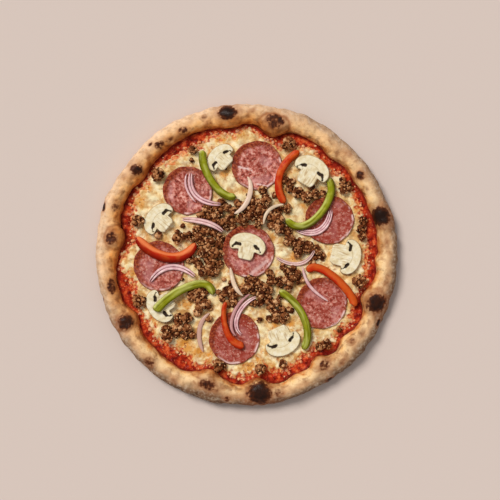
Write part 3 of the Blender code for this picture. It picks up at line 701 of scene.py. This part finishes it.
def scorched(points):
    """How dark the rim is burnt, how far its blisters stand out, and where creases lie round them."""
    turned = np.degrees(np.arctan2(points[..., 1], points[..., 0]))
    distance = np.hypot(points[..., 0], points[..., 1])
    outer_side = distance > INNER_RADIUS + 10 * MM
    distance = distance + np.clip(RIM_SHOULDER - points[..., 2], 0, None) * outer_side
    wobble = 0.22 * rough(points, 7 * MM, 3.3) + 0.1 * rough(points, 2.8 * MM, 8.1)
    dark, raised, crease = (np.zeros(turned.shape) for _ in range(3))
    for *spot, darkness in SCORCH:
        away = from_spot(turned, distance, *spot)
        uneven = wobble * (0.3 if darkness == 1 else 1)
        dark = np.maximum(dark, darkness * ease(1.5, 0.35, away + uneven))
        dark = np.maximum(dark, 0.34 * darkness * ease(2.4, 0.8, away + 1.5 * uneven))
        if darkness > 0.5:
            dome = np.clip(1 - (away / 1.2) ** 2, 0, 1) ** 1.5
            raised = np.maximum(raised, min(spot[2:]) / 14 * dome)
    for *spot, depth in CREASES:
        away = from_spot(turned, distance, *spot) + 0.6 * wobble
        line = depth * ease(0.2, 0, np.abs(away - 1))
        crease = np.maximum(crease, np.maximum(0.7 * line, 0.35 * depth * ease(1.1, 0.6, away)))
        raised += 0.7 * np.clip(1 - away**2, 0, 1) - 0.6 * line
    return dark, raised * MM, crease


def crust_form(angle):
    """The crust's plain surface, in rows from the top's middle round the rim to the underside's middle.

    Also how far each row lies onto the rim, from 0 to 1, and which rows are the underside's.
    """
    rim = rim_profile()
    middle_out = np.array([10, 40, 80, 105, 118, 125]) * MM
    top = np.column_stack([middle_out, np.full(len(middle_out), BASE_HEIGHT)])
    under = np.column_stack([np.array([138, 120, 90, 50, 12]) * MM, np.zeros(5)])
    profile = np.concatenate([top, rim, under])
    radius, height = profile[:, :1], profile[:, 1:]
    across = np.clip((radius - INNER_RADIUS) / (OUTER_RADIUS - INNER_RADIUS), 0, 1)
    on_top = (height > RIM_BELLY / 3) & (radius > INNER_RADIUS / 2)
    inward = (rim_inside(angle) - INNER_RADIUS) * (1 - across) ** 1.3 * on_top
    outward = (rim_outside(angle) - OUTER_RADIUS) * across
    puff = 0.05 * np.sin(5 * angle + 1) + 0.05 * np.sin(11 * angle + 3)
    bubble = 0.05 * lumps_round(angle, RIM_BUBBLES) / (3 * MM) * (1 - across)
    rise = (height - BASE_HEIGHT) * (1 + (puff + bubble) * ease(0, RIM_BELLY, height))
    grid = polar(radius + inward + outward, angle, BASE_HEIGHT + rise)
    row = np.arange(len(profile))[:, None]
    return grid, ease(len(top), len(top) + 8, row), row > len(top) + len(rim) * 0.8


def add_crust_relief(grid, on_rim, raised):
    """Uneven dough and blisters on the rim, kept below the solid's highest point."""
    relief = 1.7 * rough(grid, 15 * MM) + 1.1 * rough(grid, 7 * MM, 5) + 0.3 * rough(grid, 2.6 * MM, 9)
    relief = (relief - 0.3) * MM + raised
    grid += normals_of(grid) * (relief * on_rim)[..., None]
    highest, soft = solid_box[1].z, 1.2 * MM
    over = np.clip(grid[..., 2] - (highest - soft), 0, None)
    grid[..., 2] -= over - soft * np.tanh(over / soft)


def crust_fields(grid, angle, below, dark, crease):
    """What the crust's material reads at each point."""
    distance = np.hypot(grid[..., 0], grid[..., 1])
    width = rim_outside(angle) - rim_inside(angle)
    place = (distance - rim_inside(angle)) / width
    degrees = np.degrees(angle)
    # Browning of the outer side, partly real and partly painted shade, stronger away from the light and
    # towards the outer edge
    browning_and_shade = np.interp(degrees, *zip(*RIM_BROWNING_AND_SHADE))
    toast_and_shade = browning_and_shade * ease(0.42, 0.98, place + 0.25 * rough(grid, 8 * MM, 4)) + np.where(below, 0.5, 0)
    patches = rough(grid, 12 * MM, 21) + 0.5 * rough(grid, 6 * MM, 13)
    brown = np.where(np.abs(degrees - 120) < 18, 0.2, 0) + patches
    dark = np.maximum(dark, 0.36 * ease(-0.1, 0.9, brown) * ease(0.05, 0.25, place) * ease(0.8, 0.5, place))
    flour = ease(0.45, 0.8, place) * 0.45 * ~below * (0.4 + 0.6 * ease(7 * MM, 14 * MM, grid[..., 2]))
    around = polar(OUTER_RADIUS, angle, 0 * angle)
    shadow = 0.5 + 0.5 * np.cos(angle - UPPER_LEFT) + 0.25 * rough(around, 40 * MM)
    shadow = ease(0.35, 0.85, shadow) * np.ones_like(place)
    stain = ease(0.1, -0.04, place + 0.12 * rough(grid, 5 * MM, 2)) * ~below
    return {"across": np.where(below, 0.7, place), "scorch": dark * ~below, "toast_and_shade": toast_and_shade,
            "flour": flour, "stain": 0.45 * stain, "crease": crease * ~below, "shadow": shadow}


def make_crust():
    angle = angles_round(CRUST_SPOKES)
    grid, onto_rim, below = crust_form(angle)
    dark, raised, crease = scorched(grid)
    on_rim = onto_rim * ease(0.4 * MM, 5 * MM, grid[..., 2])
    add_crust_relief(grid, on_rim, raised)
    mesh = closed_grids("crust", [grid], [crust_fields(grid, angle, below, dark, crease)])
    dressed("baked_crust", mesh, crust_material(), "crust", "crust")


def make_sauce():
    angle = angles_round(LAYER_SPOKES)
    start = cheese_edge(angle) - 9 * MM
    end = rim_inside(angle) + 0.6 * MM
    hidden = np.array([15, 55, 95])[:, None] * MM * np.ones_like(angle)
    share = np.linspace(0, 1, 46)[:, None]
    radius = np.concatenate([hidden, start + share * (end - start)])
    crest = cheese_edge(angle) + 0.4 * (end - cheese_edge(angle))
    swell = SAUCE_SWELL * ease(-6 * MM, 0, radius - crest)
    grid = polar(radius, angle, SAUCE_TOP + swell)
    level = flat(grid)
    pulp = 0.9 * beads(level, 4 * MM) + 0.5 * beads(level, 2.2 * MM, 4) + 0.7 * rough(level, 6 * MM, 2)
    shown = ease(-3 * MM, 1 * MM, radius - cheese_edge(angle))
    grid[..., 2] += (pulp - 0.4) * MM * shown
    grid[..., 2] += 1.3 * MM * ease(2.5 * MM, 0, end - radius)
    # Painted shade: the sauce darkens in the corner where it meets the rim's foot
    rim_foot_shade = ease(3.5 * MM, 0.5 * MM, end - radius + 1.5 * MM * rough(level, 5 * MM, 7))
    under = polar(np.stack([end, start, 0.4 * start, 0.1 * start]), angle, SAUCE_BOTTOM)
    grid, fields = with_underside(grid, under, {"rim_foot_shade": 0.8 * rim_foot_shade})
    mesh = closed_grids("sauce", [grid], [fields])
    dressed("tomato_sauce", mesh, sauce_material(), "sauce", "sauce")


def cheese_relief(level):
    """The cheese's height above its solid's even top."""
    swell = 0.8 * rough(level, 28 * MM)
    lumps = 1.3 * rough(level, 8 * MM, 3) + 0.8 * beads(level, 5.2 * MM, 6) + 0.3 * rough(level, 2.5 * MM, 1)
    relief = swell + lumps - 0.45
    return np.where(relief > 0, 1.2 * np.tanh(relief / 1.2), relief) * MM


def make_cheese():
    angle = angles_round(LAYER_SPOKES)
    around = polar(CHEESE_RADIUS, angle, 0 * angle)
    lace = 2.6 * rough(around, 5.5 * MM, 5) + 1.6 * rough(around, 2.4 * MM, 2)
    edge = np.minimum(cheese_edge(angle) + (lace + 0.4) * MM, rim_inside(angle) - 1 * MM)
    share = np.concatenate([np.linspace(0.02, 0.82, 72), np.linspace(0.83, 1, 44)])[:, None]
    radius = share * edge
    level = polar(radius, angle, 0 * angle)
    inside = edge - radius
    patches = 0.9 * rough(level, 5 * MM, 4) + 0.5 * rough(level, 2.2 * MM, 9)
    thin = ease(0.1, 0.6, patches + 1.05 * ease(13 * MM, 0, inside) - 0.42)
    height = CHEESE_TOP + cheese_relief(level)
    fall = ease(0, 7 * MM, inside)
    height = CHEESE_EDGE_TOP + (height - CHEESE_EDGE_TOP) * fall - 0.9 * MM * thin
    height -= 0.9 * MM * ease(1.2 * MM, 0, inside)
    grid = level.copy()
    grid[..., 2] = np.maximum(height, CHEESE_BOTTOM + 0.3 * MM)
    golden = np.maximum(spots(level, GOLDEN_CHEESE), 0.8 * ease(0.22, 0.5, rough(level, 11 * MM, 7)))
    milky = spots(level, MILKY_CHEESE)
    under = polar(np.stack([edge, 0.6 * edge, 0.1 * edge]), angle, CHEESE_BOTTOM - 0.3 * MM)
    # Painted shade: darker where the cheese lies below its top, in the hollows between lumps
    hollow_shade = ease(0.1, -0.9, (grid[..., 2] - CHEESE_TOP) / MM)
    fields = {"golden": golden, "milky": milky, "thin": thin, "hollow_shade": hollow_shade}
    grid, fields = with_underside(grid, under, fields)
    grids, marks = [grid], [fields]
    for _ in range(CHEESE_CRUMBS):
        crumb, thinness = cheese_crumb()
        grids.append(crumb)
        marks.append({"golden": 0, "milky": 1, "thin": thinness, "hollow_shade": 0})
    mesh = closed_grids("cheese", grids, marks)
    dressed("melted_cheese", mesh, cheese_material(), "cheese", "cheese")


def cheese_crumb():
    """A small lump of cheese in the sauce, most often close to the cheese's edge, and how red it is."""
    turn = number_draw.uniform(0, 2 * math.pi)
    edge = cheese_edge(np.array([turn]))[0]
    room = rim_inside(np.array([turn]))[0] - 1.5 * MM - edge
    distance = edge + min(number_draw.exponential(1.9) * MM - 1.5 * MM, room)
    size = number_draw.uniform(0.7, 1.9) * MM
    rise = np.linspace(0.94, -0.7, 5)[:, None]
    around = angles_round(8)
    form = polar(np.sqrt(1 - rise**2), around, rise) * number_draw.uniform(0.75, 1.3, (5, 8, 1))
    crumb = form * size * np.array([1, 1, 0.45])
    crumb += (distance * math.cos(turn), distance * math.sin(turn), SAUCE_TOP + 0.9 * MM + 0.1 * size)
    return crumb, number_draw.uniform(0.7, 1)


def slice_form(node):
    """Middle and radius of a round slice, from its solid."""
    low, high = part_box(node)
    return (low.x + high.x) / 2, (low.y + high.y) / 2, (high.x - low.x + high.y - low.y) / 4


def salami_fields(grid, angle, from_edge, number):
    """What the salami's material reads at each point of the slice with this number."""
    lean = 0.5 + 0.5 * np.cos(angle - UPPER_LEFT)
    # The rind, real all round, is made wider and darker on the upper-left edge as painted shade, where the
    # cupped slice turns from the light
    rind_and_shade = ease(1.6 + 7.4 * lean, 0.4 + 3.6 * lean, from_edge + 2.4 * rough(grid, 4 * MM, number))
    pale = ease(0.0, 0.4, rough(flat(grid), 12 * MM, 2.3 * number) + 0.1)
    # Streaks that are partly pale fat and partly painted highlights on folds and edges
    streaks = np.zeros(grid.shape[:2])
    for x0, y0, x1, y1, width in SALAMI_STREAKS_AND_GLINTS:
        away = near_line(grid[..., 0] / MM, grid[..., 1] / MM, (x0, y0), (x1, y1))
        away += 1.1 * rough(flat(grid), 2.6 * MM, number)
        strength = 0.85 if width < 4 else 0.5
        streaks = np.maximum(streaks, strength * ease(0.6 * width, 0.15 * width, away))
    # Painted highlight: a pale line along the lower-right edge, which the cupped slice turns to the light
    shine = 0.9 * ease(0.7, 0.15, lean) * ease(0.3, 1, from_edge) * ease(3.2, 1.2, from_edge)
    shine *= ease(-0.1, 0.35, rough(grid, 6 * MM, 3.3 * number))
    redness = SALAMI_REDNESS[number - 1] * (0.7 + 0.6 * rough(flat(grid), 10 * MM, number))
    return {"rind_and_shade": 0.95 * rind_and_shade * (0.4 + 0.6 * lean), "pale": pale * ease(3, 8, from_edge),
            "fat_and_glint": np.maximum(streaks, shine), "red": redness}


def make_salami():
    material = salami_material()
    angle = angles_round(SLICE_SPOKES)
    for number in range(1, SALAMI_SLICES + 1):
        node = f"salami_{number}"
        x, y, radius = slice_form(node)
        wave = 1 + 0.014 * np.sin(2 * angle + number) + 0.01 * np.sin(5 * angle + 2 * number)
        wave += 0.008 * np.sin(11 * angle + 3 * number)
        share = np.concatenate([np.linspace(0.03, 0.92, 34), np.linspace(0.94, 1, 5)])[:, None]
        reach = share * radius * wave
        grid = polar(reach, angle, 0 * angle) + (x, y, 0)
        known = underside_points(node)
        rest = blended_heights(known, grid) - SINK
        from_edge = (radius * wave - reach) / MM
        rounding = 0.5 * np.clip(1 - from_edge / 0.8, 0, 1) ** 2
        relief = 0.35 * rough(flat(grid), 9 * MM, number) + 0.2 * rough(flat(grid), 3 * MM, number)
        cupped = 0.8 * ease(7, 1, from_edge)
        grid[..., 2] = rest + SALAMI_HEIGHT + (relief + cupped - rounding) * MM
        low_share = np.array([1, 0.9, 0.5, 0.1])[:, None]
        under = polar(low_share * radius * wave, angle, 0 * angle) + (x, y, 0)
        under[..., 2] = blended_heights(known, under) - SINK
        under[0, :, 2] += 0.5 * MM
        grid = np.concatenate([grid, under])
        from_edge = np.concatenate([from_edge, np.zeros(under.shape[:2])])
        fields = salami_fields(grid, angle, from_edge, number)
        dressed(f"{node}_slice", closed_grids(node, [grid], [fields]), material, "salami", node)


def mushroom_reach(width, stem_share, stem_end, turns):
    """The slice's outline as distances from a point in its cap, at each direction."""
    half, shoulder = width / 2, CAP_SHOULDER * width
    rise = CAP_TOP * width - shoulder
    outline = []
    for degrees in np.linspace(-22, 202, 13):
        turn = math.radians(degrees)
        outline.append((half * math.cos(turn), shoulder + rise * math.sin(turn)))
    margin, stem, end = half * 0.78, stem_share * width / 2, -stem_end * width
    left = [(-margin, -0.15 * width), (-(margin + stem) / 2, -0.08 * width), (-stem, -0.11 * width)]
    left += [(-stem * 0.97, end * 0.78), (-stem * 0.75, end)]
    outline += left + [(-x, y) for x, y in reversed(left)]
    outline = np.array(outline + outline[:1]) - (0, CAP_MIDDLE * width)
    steps = np.linspace(0, len(outline) - 1, 40 * len(outline))
    dense = np.column_stack([np.interp(steps, np.arange(len(outline)), outline[:, axis]) for axis in (0, 1)])
    order = np.argsort(np.arctan2(dense[:, 1], dense[:, 0]))
    direction = np.arctan2(dense[:, 1], dense[:, 0])[order]
    reach = np.interp(turns, direction, np.hypot(*dense[order].T), period=2 * math.pi)
    for _ in range(4):
        reach = (np.roll(reach, 1) + 2 * reach + np.roll(reach, -1)) / 4
    return reach


def mushroom_marks(across, along, stem_share, number):
    """Where the dark gills, the curled margins beside them, the streaks and the skin lines are."""
    wobble = 0.016 * rough(np.stack([across, along, 0 * along], axis=-1), 0.07, number)
    gill, knob = np.zeros_like(across), np.zeros_like(across)
    for side in (-1, 1):
        sway = 0.015 * math.sin(3.1 * number + side)
        bend = (side * (0.3 + sway), 0.022 + sway)
        root = (side * 0.2, 0.05 - sway)
        tip = (side * (0.375 + sway), -0.075 + 0.012 * math.sin(2 * number - side))
        thick = near_line(across, along, root, bend) + wobble
        slim = near_line(across, along, bend, tip) + wobble
        fade = np.hypot(across - tip[0], along - tip[1])
        gill = np.maximum(gill, ease(0.05, 0.034, thick))
        gill = np.maximum(gill, ease(0.04, 0.026, slim + 0.012 * ease(0.1, 0, fade)))
        away = np.hypot((across - side * 0.29) / 1.35, along + 0.065) + wobble
        knob = np.maximum(knob, ease(0.058, 0.042, away))
    gill = gill * (1 - knob)
    stem = ease(stem_share / 2 + 0.02, stem_share / 2 - 0.05, np.abs(across)) * ease(0.14, -0.02, along)
    grain = ease(0.05, 0.4, rough(np.stack([across, 0.16 * along, 0 * along], axis=-1), 0.035, number)) * stem
    arch = np.hypot(across / 0.27, (along + 0.05) / 0.2)
    arch = ease(0.07, 0.02, np.abs(arch - 1)) * ease(-0.02, 0.03, along)
    return gill, knob, grain, arch


def make_mushrooms():
    material = mushroom_material()
    turns = angles_round(MUSHROOM_SPOKES) - math.pi
    for number, (node, (x, y, degrees, width, stem_share, stem_end)) in enumerate(MUSHROOMS.items(), 1):
        width *= MM
        reach = mushroom_reach(width, stem_share, stem_end, turns)
        share = np.concatenate([np.linspace(0.02, 0.9, 36), np.linspace(0.92, 1, 6)])[:, None]
        across = share * reach * np.cos(turns)
        along = share * reach * np.sin(turns) + CAP_MIDDLE * width
        inside = (1 - share) * reach
        gill, knob, grain, arch = mushroom_marks(across / width, along / width, stem_share, number)
        skin = ease(1.1 * MM, 0.1 * MM, inside) * ease(-0.2, -0.1, along / width)
        turn = math.radians(degrees - 90)
        places = np.stack([x * MM + across * math.cos(turn) - along * math.sin(turn),
                           y * MM + across * math.sin(turn) + along * math.cos(turn), 0 * along], axis=-1)
        known = underside_points(node)
        plan = np.column_stack([known[:, :2], np.ones(len(known))])
        slope = np.linalg.lstsq(plan, known[:, 2], rcond=None)[0]
        rest = places[..., 0] * slope[0] + places[..., 1] * slope[1] + slope[2] - SINK
        edge_radius = 1.4 * MM
        rounded = edge_radius * (1 - np.sqrt(1 - np.clip(1 - inside / edge_radius, 0, 1) ** 2))
        relief = 0.3 * rough(places, 5 * MM, number) - 1.8 * gill + 0.5 * knob - 0.25 * arch
        grid = places.copy()
        grid[..., 2] = rest + MUSHROOM_HEIGHT - rounded + relief * MM
        rows_below = [-1, -8, 4]
        under = places[rows_below]
        under[..., 2] = rest[rows_below] + np.array([0.6, 0, 0])[:, None] * MM
        fields = {"gill": gill, "skin": np.maximum(0.75 * skin, 0.3 * arch), "grain": grain}
        grid, fields = with_underside(grid, under, fields)
        dressed(f"{node}_slice", closed_grids(node, [grid], [fields]), material, "mushroom", node)


def cubic(route, count):
    """Points along a cubic curve given by its ends and its two handles, closer together at its ends."""
    t = (1 - np.cos(np.linspace(0, math.pi, count)))[:, None] / 2
    shares = np.hstack([(1 - t) ** 3, 3 * t * (1 - t) ** 2, 3 * t**2 * (1 - t), t**3])
    return shares @ np.array(route, float) * MM, t[:, 0]


def strip_grid(node, route, width, offset, taper, ends, height, rows, columns, roundness):
    """A bent strip with a rounded section over its solid's underside, and where its points lie in it.

    The offset in millimetres moves each row to the left. The taper is the share of each half that
    narrows to the strip's end, and how bluntly. The ends give the width at the start and at the end
    of the strip as shares of its width. With less roundness the section is squarer.
    """
    middle, t = cubic(route, rows)
    direction = np.gradient(middle, axis=0)
    direction /= np.linalg.norm(direction, axis=1, keepdims=True)
    left = np.column_stack([-direction[:, 1], direction[:, 0]])
    pulled_in = middle + direction * (np.clip(0.5 - t, -0.5, 0.5) * 1.5 * MM)[:, None]
    rest = heights(solid_tree(node), pulled_in, upward=True)
    for _ in range(6):
        rest = np.convolve(np.pad(rest, 1, mode="edge"), [0.25, 0.5, 0.25], mode="valid")
    end = np.abs(2 * t - 1)
    shape = (1 - np.clip((end - 1 + taper[0]) / taper[0], 0, 1) ** taper[1]) ** (1 / taper[1])
    turn = angles_round(columns)
    side = -np.sign(np.cos(turn)) * np.abs(np.cos(turn)) ** roundness
    up = np.sign(np.sin(turn)) * np.abs(np.sin(turn)) ** roundness
    belly = 0.55  # how deep the section's lower half is, as a share of its upper half
    up = (np.where(up < 0, belly * up, up) + belly) / (1 + belly)
    shape = np.maximum(shape, 0.04)
    half = (width * MM / 2 * shape * (ends[0] + (ends[1] - ends[0]) * t))[:, None]
    middle = middle + left * offset[:, None] * MM
    grid = np.empty((rows, columns, 3))
    grid[..., :2] = middle[:, None] + left[:, None] * (half * side)[..., None]
    lift = (height * shape**0.6)[:, None]
    centre = rest[:, None] - SINK + 0.25 * (height - lift)
    grid[..., 2] = centre + lift * up
    return grid, t[:, None] * np.ones(columns), side * np.ones((rows, 1)), up * np.ones((rows, 1))


def sunward(grid):
    """How far each part of the surface faces the light."""
    return normals_of(grid) @ np.array(SUNWARD)


def make_peppers(strips, material, slot):
    offset = np.zeros(PEPPER_FORM["rows"])
    for number, (node, (*route, width)) in enumerate(strips.items(), 1):
        ends = PEPPER_ENDS.get(node, (1, 1))
        taper = TURNED_TAPER if node == TURNED_PEPPER else PEPPER_TAPER
        grid, t, side, up = strip_grid(node, route, width, offset, taper, ends, **PEPPER_FORM)
        ridges = np.stack([side * 3.2, 2.2 * t, 0 * t], axis=-1)
        stripe = rough(ridges, 1.0, 3.7 * number)
        relief = 0.25 * rough(grid, 7 * MM, number) + 0.12 * rough(grid, 2.5 * MM, number) - 0.35 * stripe
        grid += normals_of(grid) * (relief * MM * ease(0.05, 0.3, up))[..., None]
        shaded = np.maximum(ease(0.8, 0.25, up), 0.8 * ease(0.35, -0.1, sunward(grid)))
        lean = PEPPER_SHADE.get(node, 0)
        wobble = rough(grid, 6 * MM, number)
        dark_side = abs(lean) * ease(0, 0.9, 0.3 * wobble - np.sign(lean) * side)
        shaded = np.maximum(0.4 * shaded, dark_side)
        # Painted highlight: pale streaks along the strip's middle, carried in the lit field
        highlight_streaks = ease(0.0, 0.45, rough(np.stack([side * 1.6, 5 * t, 0 * t], axis=-1), 1.0, 1.9 * number))
        lit = ease(0.6, 0.95, sunward(grid) + 0.15 * wobble) * ease(0.4, 0.8, up)
        lit = np.maximum(lit, 0.5 * highlight_streaks * ease(0.7, 0.3, np.abs(side)))
        lit *= 0.4 if slot == "red_pepper" else 1
        flesh = PEPPER_FLESH.get(node, 0) * ease(-0.5, 0.5, side + 1.6 * rough(grid, 9 * MM, number))
        if node == TURNED_PEPPER:
            flesh = ease(0.2, 0.5, side + 0.1 * np.sin(9 * t) + 0.4 * (2 * t - 1) ** 2)
            lit = 1.6 * flesh * ease(1.1, 0.5, side)
            shaded = ease(0.2, -0.6, side)
        fields = {"lit": 0.8 * lit * (1 - 0.5 * flesh), "shaded": 0.85 * shaded * (1 - 0.4 * flesh),
                  "stripe": ease(0.05, 0.4, stripe) * (1 - flesh), "flesh": flesh}
        dressed(f"{node}_strip", closed_grids(node, [grid], [fields]), material, slot, node)


def make_onions():
    material = onion_material()
    middle = np.sin(np.linspace(0, math.pi, ONION_FORM["rows"])) ** 0.5
    for number, (node, (*route, width)) in enumerate(ONIONS.items(), 1):
        layers, mauve, purple, cream = ONION_LOOKS[node]
        grids, fields = [], []
        for layer in range(layers):
            step = (layer - (layers - 1) / 2) * width / layers
            offset = step * (0.3 + 0.7 * middle)
            thick = width / layers * (1.08 if layers > 1 else 1)
            grid, _, side, up = strip_grid(node, route, thick, offset, ONION_TAPER, (1, 1), **ONION_FORM)
            grid += normals_of(grid) * (0.1 * MM * rough(grid, 4 * MM, number + layer))[..., None]
            wander = 0.3 * rough(grid, 9 * MM, number)
            edge = ease(0.62, 0.95, np.abs(side) + 0.4 * wander) * ease(0.1, 0.4, up)
            tinge = mauve * (0.35 + 0.65 * ease(-0.2, 0.5, side + wander)) * (1 if layer else 0.4)
            if layers == 1:
                tinge = mauve * (0.8 + 0.6 * wander)
            grids.append(grid)
            fields.append({"purple": 0.85 * purple * edge, "mauve": tinge, "cream": cream})
        dressed(f"{node}_strip", closed_grids(node, grids, fields), material, "onion", node)


def ball(segments, rings):
    drawn = bmesh.new()
    bmesh.ops.create_uvsphere(drawn, u_segments=segments, v_segments=rings, radius=1)
    bmesh.ops.triangulate(drawn, faces=drawn.faces)
    points = np.array([vert.co for vert in drawn.verts])
    faces = np.array([[vert.index for vert in face.verts] for face in drawn.faces])
    drawn.free()
    return points, faces


def on_heap(mesh, spacing):
    """Random places over a heap's upper sides, about one to a square of the spacing, and their normals."""
    mesh.calc_loop_triangles()
    corners = points_of(mesh)[np.array([triangle.vertices for triangle in mesh.loop_triangles])]
    a, b, c = corners.transpose(1, 0, 2)
    cross = np.cross(b - a, c - a)
    area = np.linalg.norm(cross, axis=1) / 2
    normal = cross / np.maximum(2 * area, 1e-15)[:, None]
    area = area * (normal[:, 2] > -0.3)
    count = int(area.sum() / spacing**2)
    chosen = number_draw.choice(len(area), count, p=area / area.sum())
    u, v = number_draw.uniform(0, 1, (2, count))
    u, v = np.where(u + v > 1, 1 - u, u), np.where(u + v > 1, 1 - v, v)
    places = a[chosen] + u[:, None] * (b - a)[chosen] + v[:, None] * (c - a)[chosen]
    return places, normal[chosen]


def on_lump(x, y, radius, floor, spacing):
    """Random places over a small round lump that sits on the floor height, with their normals."""
    count = int(3.2 * radius**2 / spacing**2) + 3
    normal = number_draw.normal(size=(count, 3))
    normal[:, 2] = np.abs(normal[:, 2])
    normal /= np.linalg.norm(normal, axis=1, keepdims=True)
    places = np.array([x, y, floor + 0.2 * radius]) + normal * radius * (0.85, 0.85, 0.8)
    return places, normal


def is_open(tree, places):
    """Whether nothing in the tree lies over or under each place."""
    return np.array([tree.ray_cast(Vector((x, y, 1)), Vector((0, 0, -1)))[0] is None for x, y, _ in places])


class Grains:
    """Rough grains of browned mince, gathered into one mesh."""

    def __init__(self):
        self.points, self.faces, self.tints, self.count = [], [], [], 0

    def add(self, shape, middles, sizes, tints):
        form, faces = shape
        stretch = number_draw.uniform(0.75, 1.3, (len(middles), 1, 3))
        dents = number_draw.uniform(0.82, 1.18, (len(middles), len(form), 1))
        points = middles[:, None] + sizes[:, None, None] * form * stretch * dents
        index = self.count + np.arange(len(middles))[:, None, None] * len(form) + faces
        self.gather(points.reshape(-1, 3), index.reshape(-1, 3), np.repeat(tints, len(form)))

    def gather(self, points, faces, tints):
        self.points.append(points)
        self.faces += faces.tolist()
        self.tints.append(tints)
        self.count += len(points)

    def cover(self, places, normal, shape, smallest, largest, sunk):
        """Grains set into the surface at the places, standing out by what isn't sunk."""
        sizes = number_draw.uniform(smallest, largest, len(places)) * MM
        middles = places + normal * (sizes * (1 - 2 * sunk))[:, None]
        self.add(shape, middles, sizes, number_draw.uniform(0, 1, len(places)))

    def mesh(self):
        mesh = bpy.data.meshes.new("mince")
        mesh.from_pydata(np.concatenate(self.points).tolist(), [], self.faces)
        mark_points(mesh, "tint", np.concatenate(self.tints))
        return mesh


def make_mince():
    nodes = [f"mince_{number}" for number in range(1, MINCE_HEAPS + 1)]
    laid_below = ["crust", "sauce", "cheese"] + [f"salami_{number + 1}" for number in range(SALAMI_SLICES)]
    laid_over = [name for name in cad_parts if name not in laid_below and name not in nodes]
    below, over = solid_tree(*laid_below), solid_tree(*laid_over)
    core_shape = ball(8, 5)
    kinds = [(ball(segments, rings), spacing * MM, sizes)
             for segments, rings, spacing, *sizes in (COARSE_GRAINS, FINE_GRAINS)]
    grains = Grains()
    for node in nodes:
        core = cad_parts[node].data
        lowered = points_of(core) - (0, 0, SINK)
        run = np.empty(3 * len(lowered), np.float32)
        core.vertices.foreach_get("normal", run)
        core.calc_loop_triangles()
        faces = grains.count + np.array([triangle.vertices for triangle in core.loop_triangles])
        shrunk = lowered - run.reshape(-1, 3) * CORE_INSET
        # The dark core, painted shade for the gaps between the grains
        grains.gather(shrunk, faces, np.full(len(shrunk), GAP_SHADE_TINT))
        for shape, spacing, sizes in kinds:
            places, normal = on_heap(core, spacing)
            grains.cover(places - (0, 0, SINK), normal, shape, *sizes)
    for x, y, radius in LOOSE_MINCE:
        x, y, radius = x * MM, y * MM, radius * MM
        floor = heights(below, [(x, y)], upward=False)[0]
        middle = np.array([[x, y, floor + 0.2 * radius]])
        if is_open(over, middle)[0]:
            # A dark core, painted shade for the gaps between the grains
            grains.add(core_shape, middle, np.array([0.72 * radius]), np.array([GAP_SHADE_TINT]))
        for shape, spacing, sizes in kinds:
            places, normal = on_lump(x, y, radius, floor, spacing)
            free = is_open(over, places)
            if free.any():
                grains.cover(places[free], normal[free], shape, *sizes)
    dressed("browned_mince", grains.mesh(), mince_material(), "mince", *nodes)


def make_floor():
    mesh = bpy.data.meshes.new("floor")
    corners = [(x * FLOOR_REACH, y * FLOOR_REACH, 0) for x, y in ((-1, -1), (1, -1), (1, 1), (-1, 1))]
    mesh.from_pydata(corners, [], [(0, 1, 2, 3)])
    shade = Shade("pale_floor", specular=0.1)
    colour = shade.ramp(shade.noise(900, 1), *FLOOR_COLOURS)
    shade.put(shade.shader.inputs["Base Color"], colour)
    shade.put(shade.shader.inputs["Roughness"], 0.9)
    mesh.materials.append(shade.material)
    floor = bpy.data.objects.new("floor", mesh)
    bpy.context.scene.collection.objects.link(floor)


def make_stage():
    make_floor()
    scene = bpy.context.scene
    scene.view_settings.view_transform = "Standard"
    world = bpy.data.worlds.new("studio")
    world.use_nodes = True
    sky = world.node_tree.nodes["Background"]
    sky.inputs["Color"].default_value = SKY_COLOUR
    sky.inputs["Strength"].default_value = SKY_STRENGTH
    scene.world = world
    light = bpy.data.lights.new("window", "SUN")
    light.energy = SUN_STRENGTH
    light.angle = SUN_WIDTH
    light.color = SUN_COLOUR
    sun = bpy.data.objects.new("window", light)
    sun.rotation_euler = Vector(SUN_DIRECTION).to_track_quat("-Z", "Y").to_euler()
    scene.collection.objects.link(sun)
    camera = bpy.data.cameras.new("camera")
    camera.lens = CAMERA_LENS
    camera.sensor_width = SENSOR_WIDTH
    obj = bpy.data.objects.new("camera", camera)
    obj.location = CAMERA_PLACE
    scene.collection.objects.link(obj)
    scene.camera = obj


make_stage()
make_crust()
make_sauce()
make_cheese()
make_salami()
make_mushrooms()
green = pepper_material("green_pepper", (144, 146, 20), (168, 168, 54), (76, 64, 0), (212, 212, 124), 0.6)
red = pepper_material("red_pepper", (192, 40, 6), (208, 88, 28), (128, 10, 0), (248, 144, 90), 0.25)
make_peppers(GREEN_PEPPERS, green, "green_pepper")
make_peppers(RED_PEPPERS, red, "red_pepper")
make_onions()
make_mince()
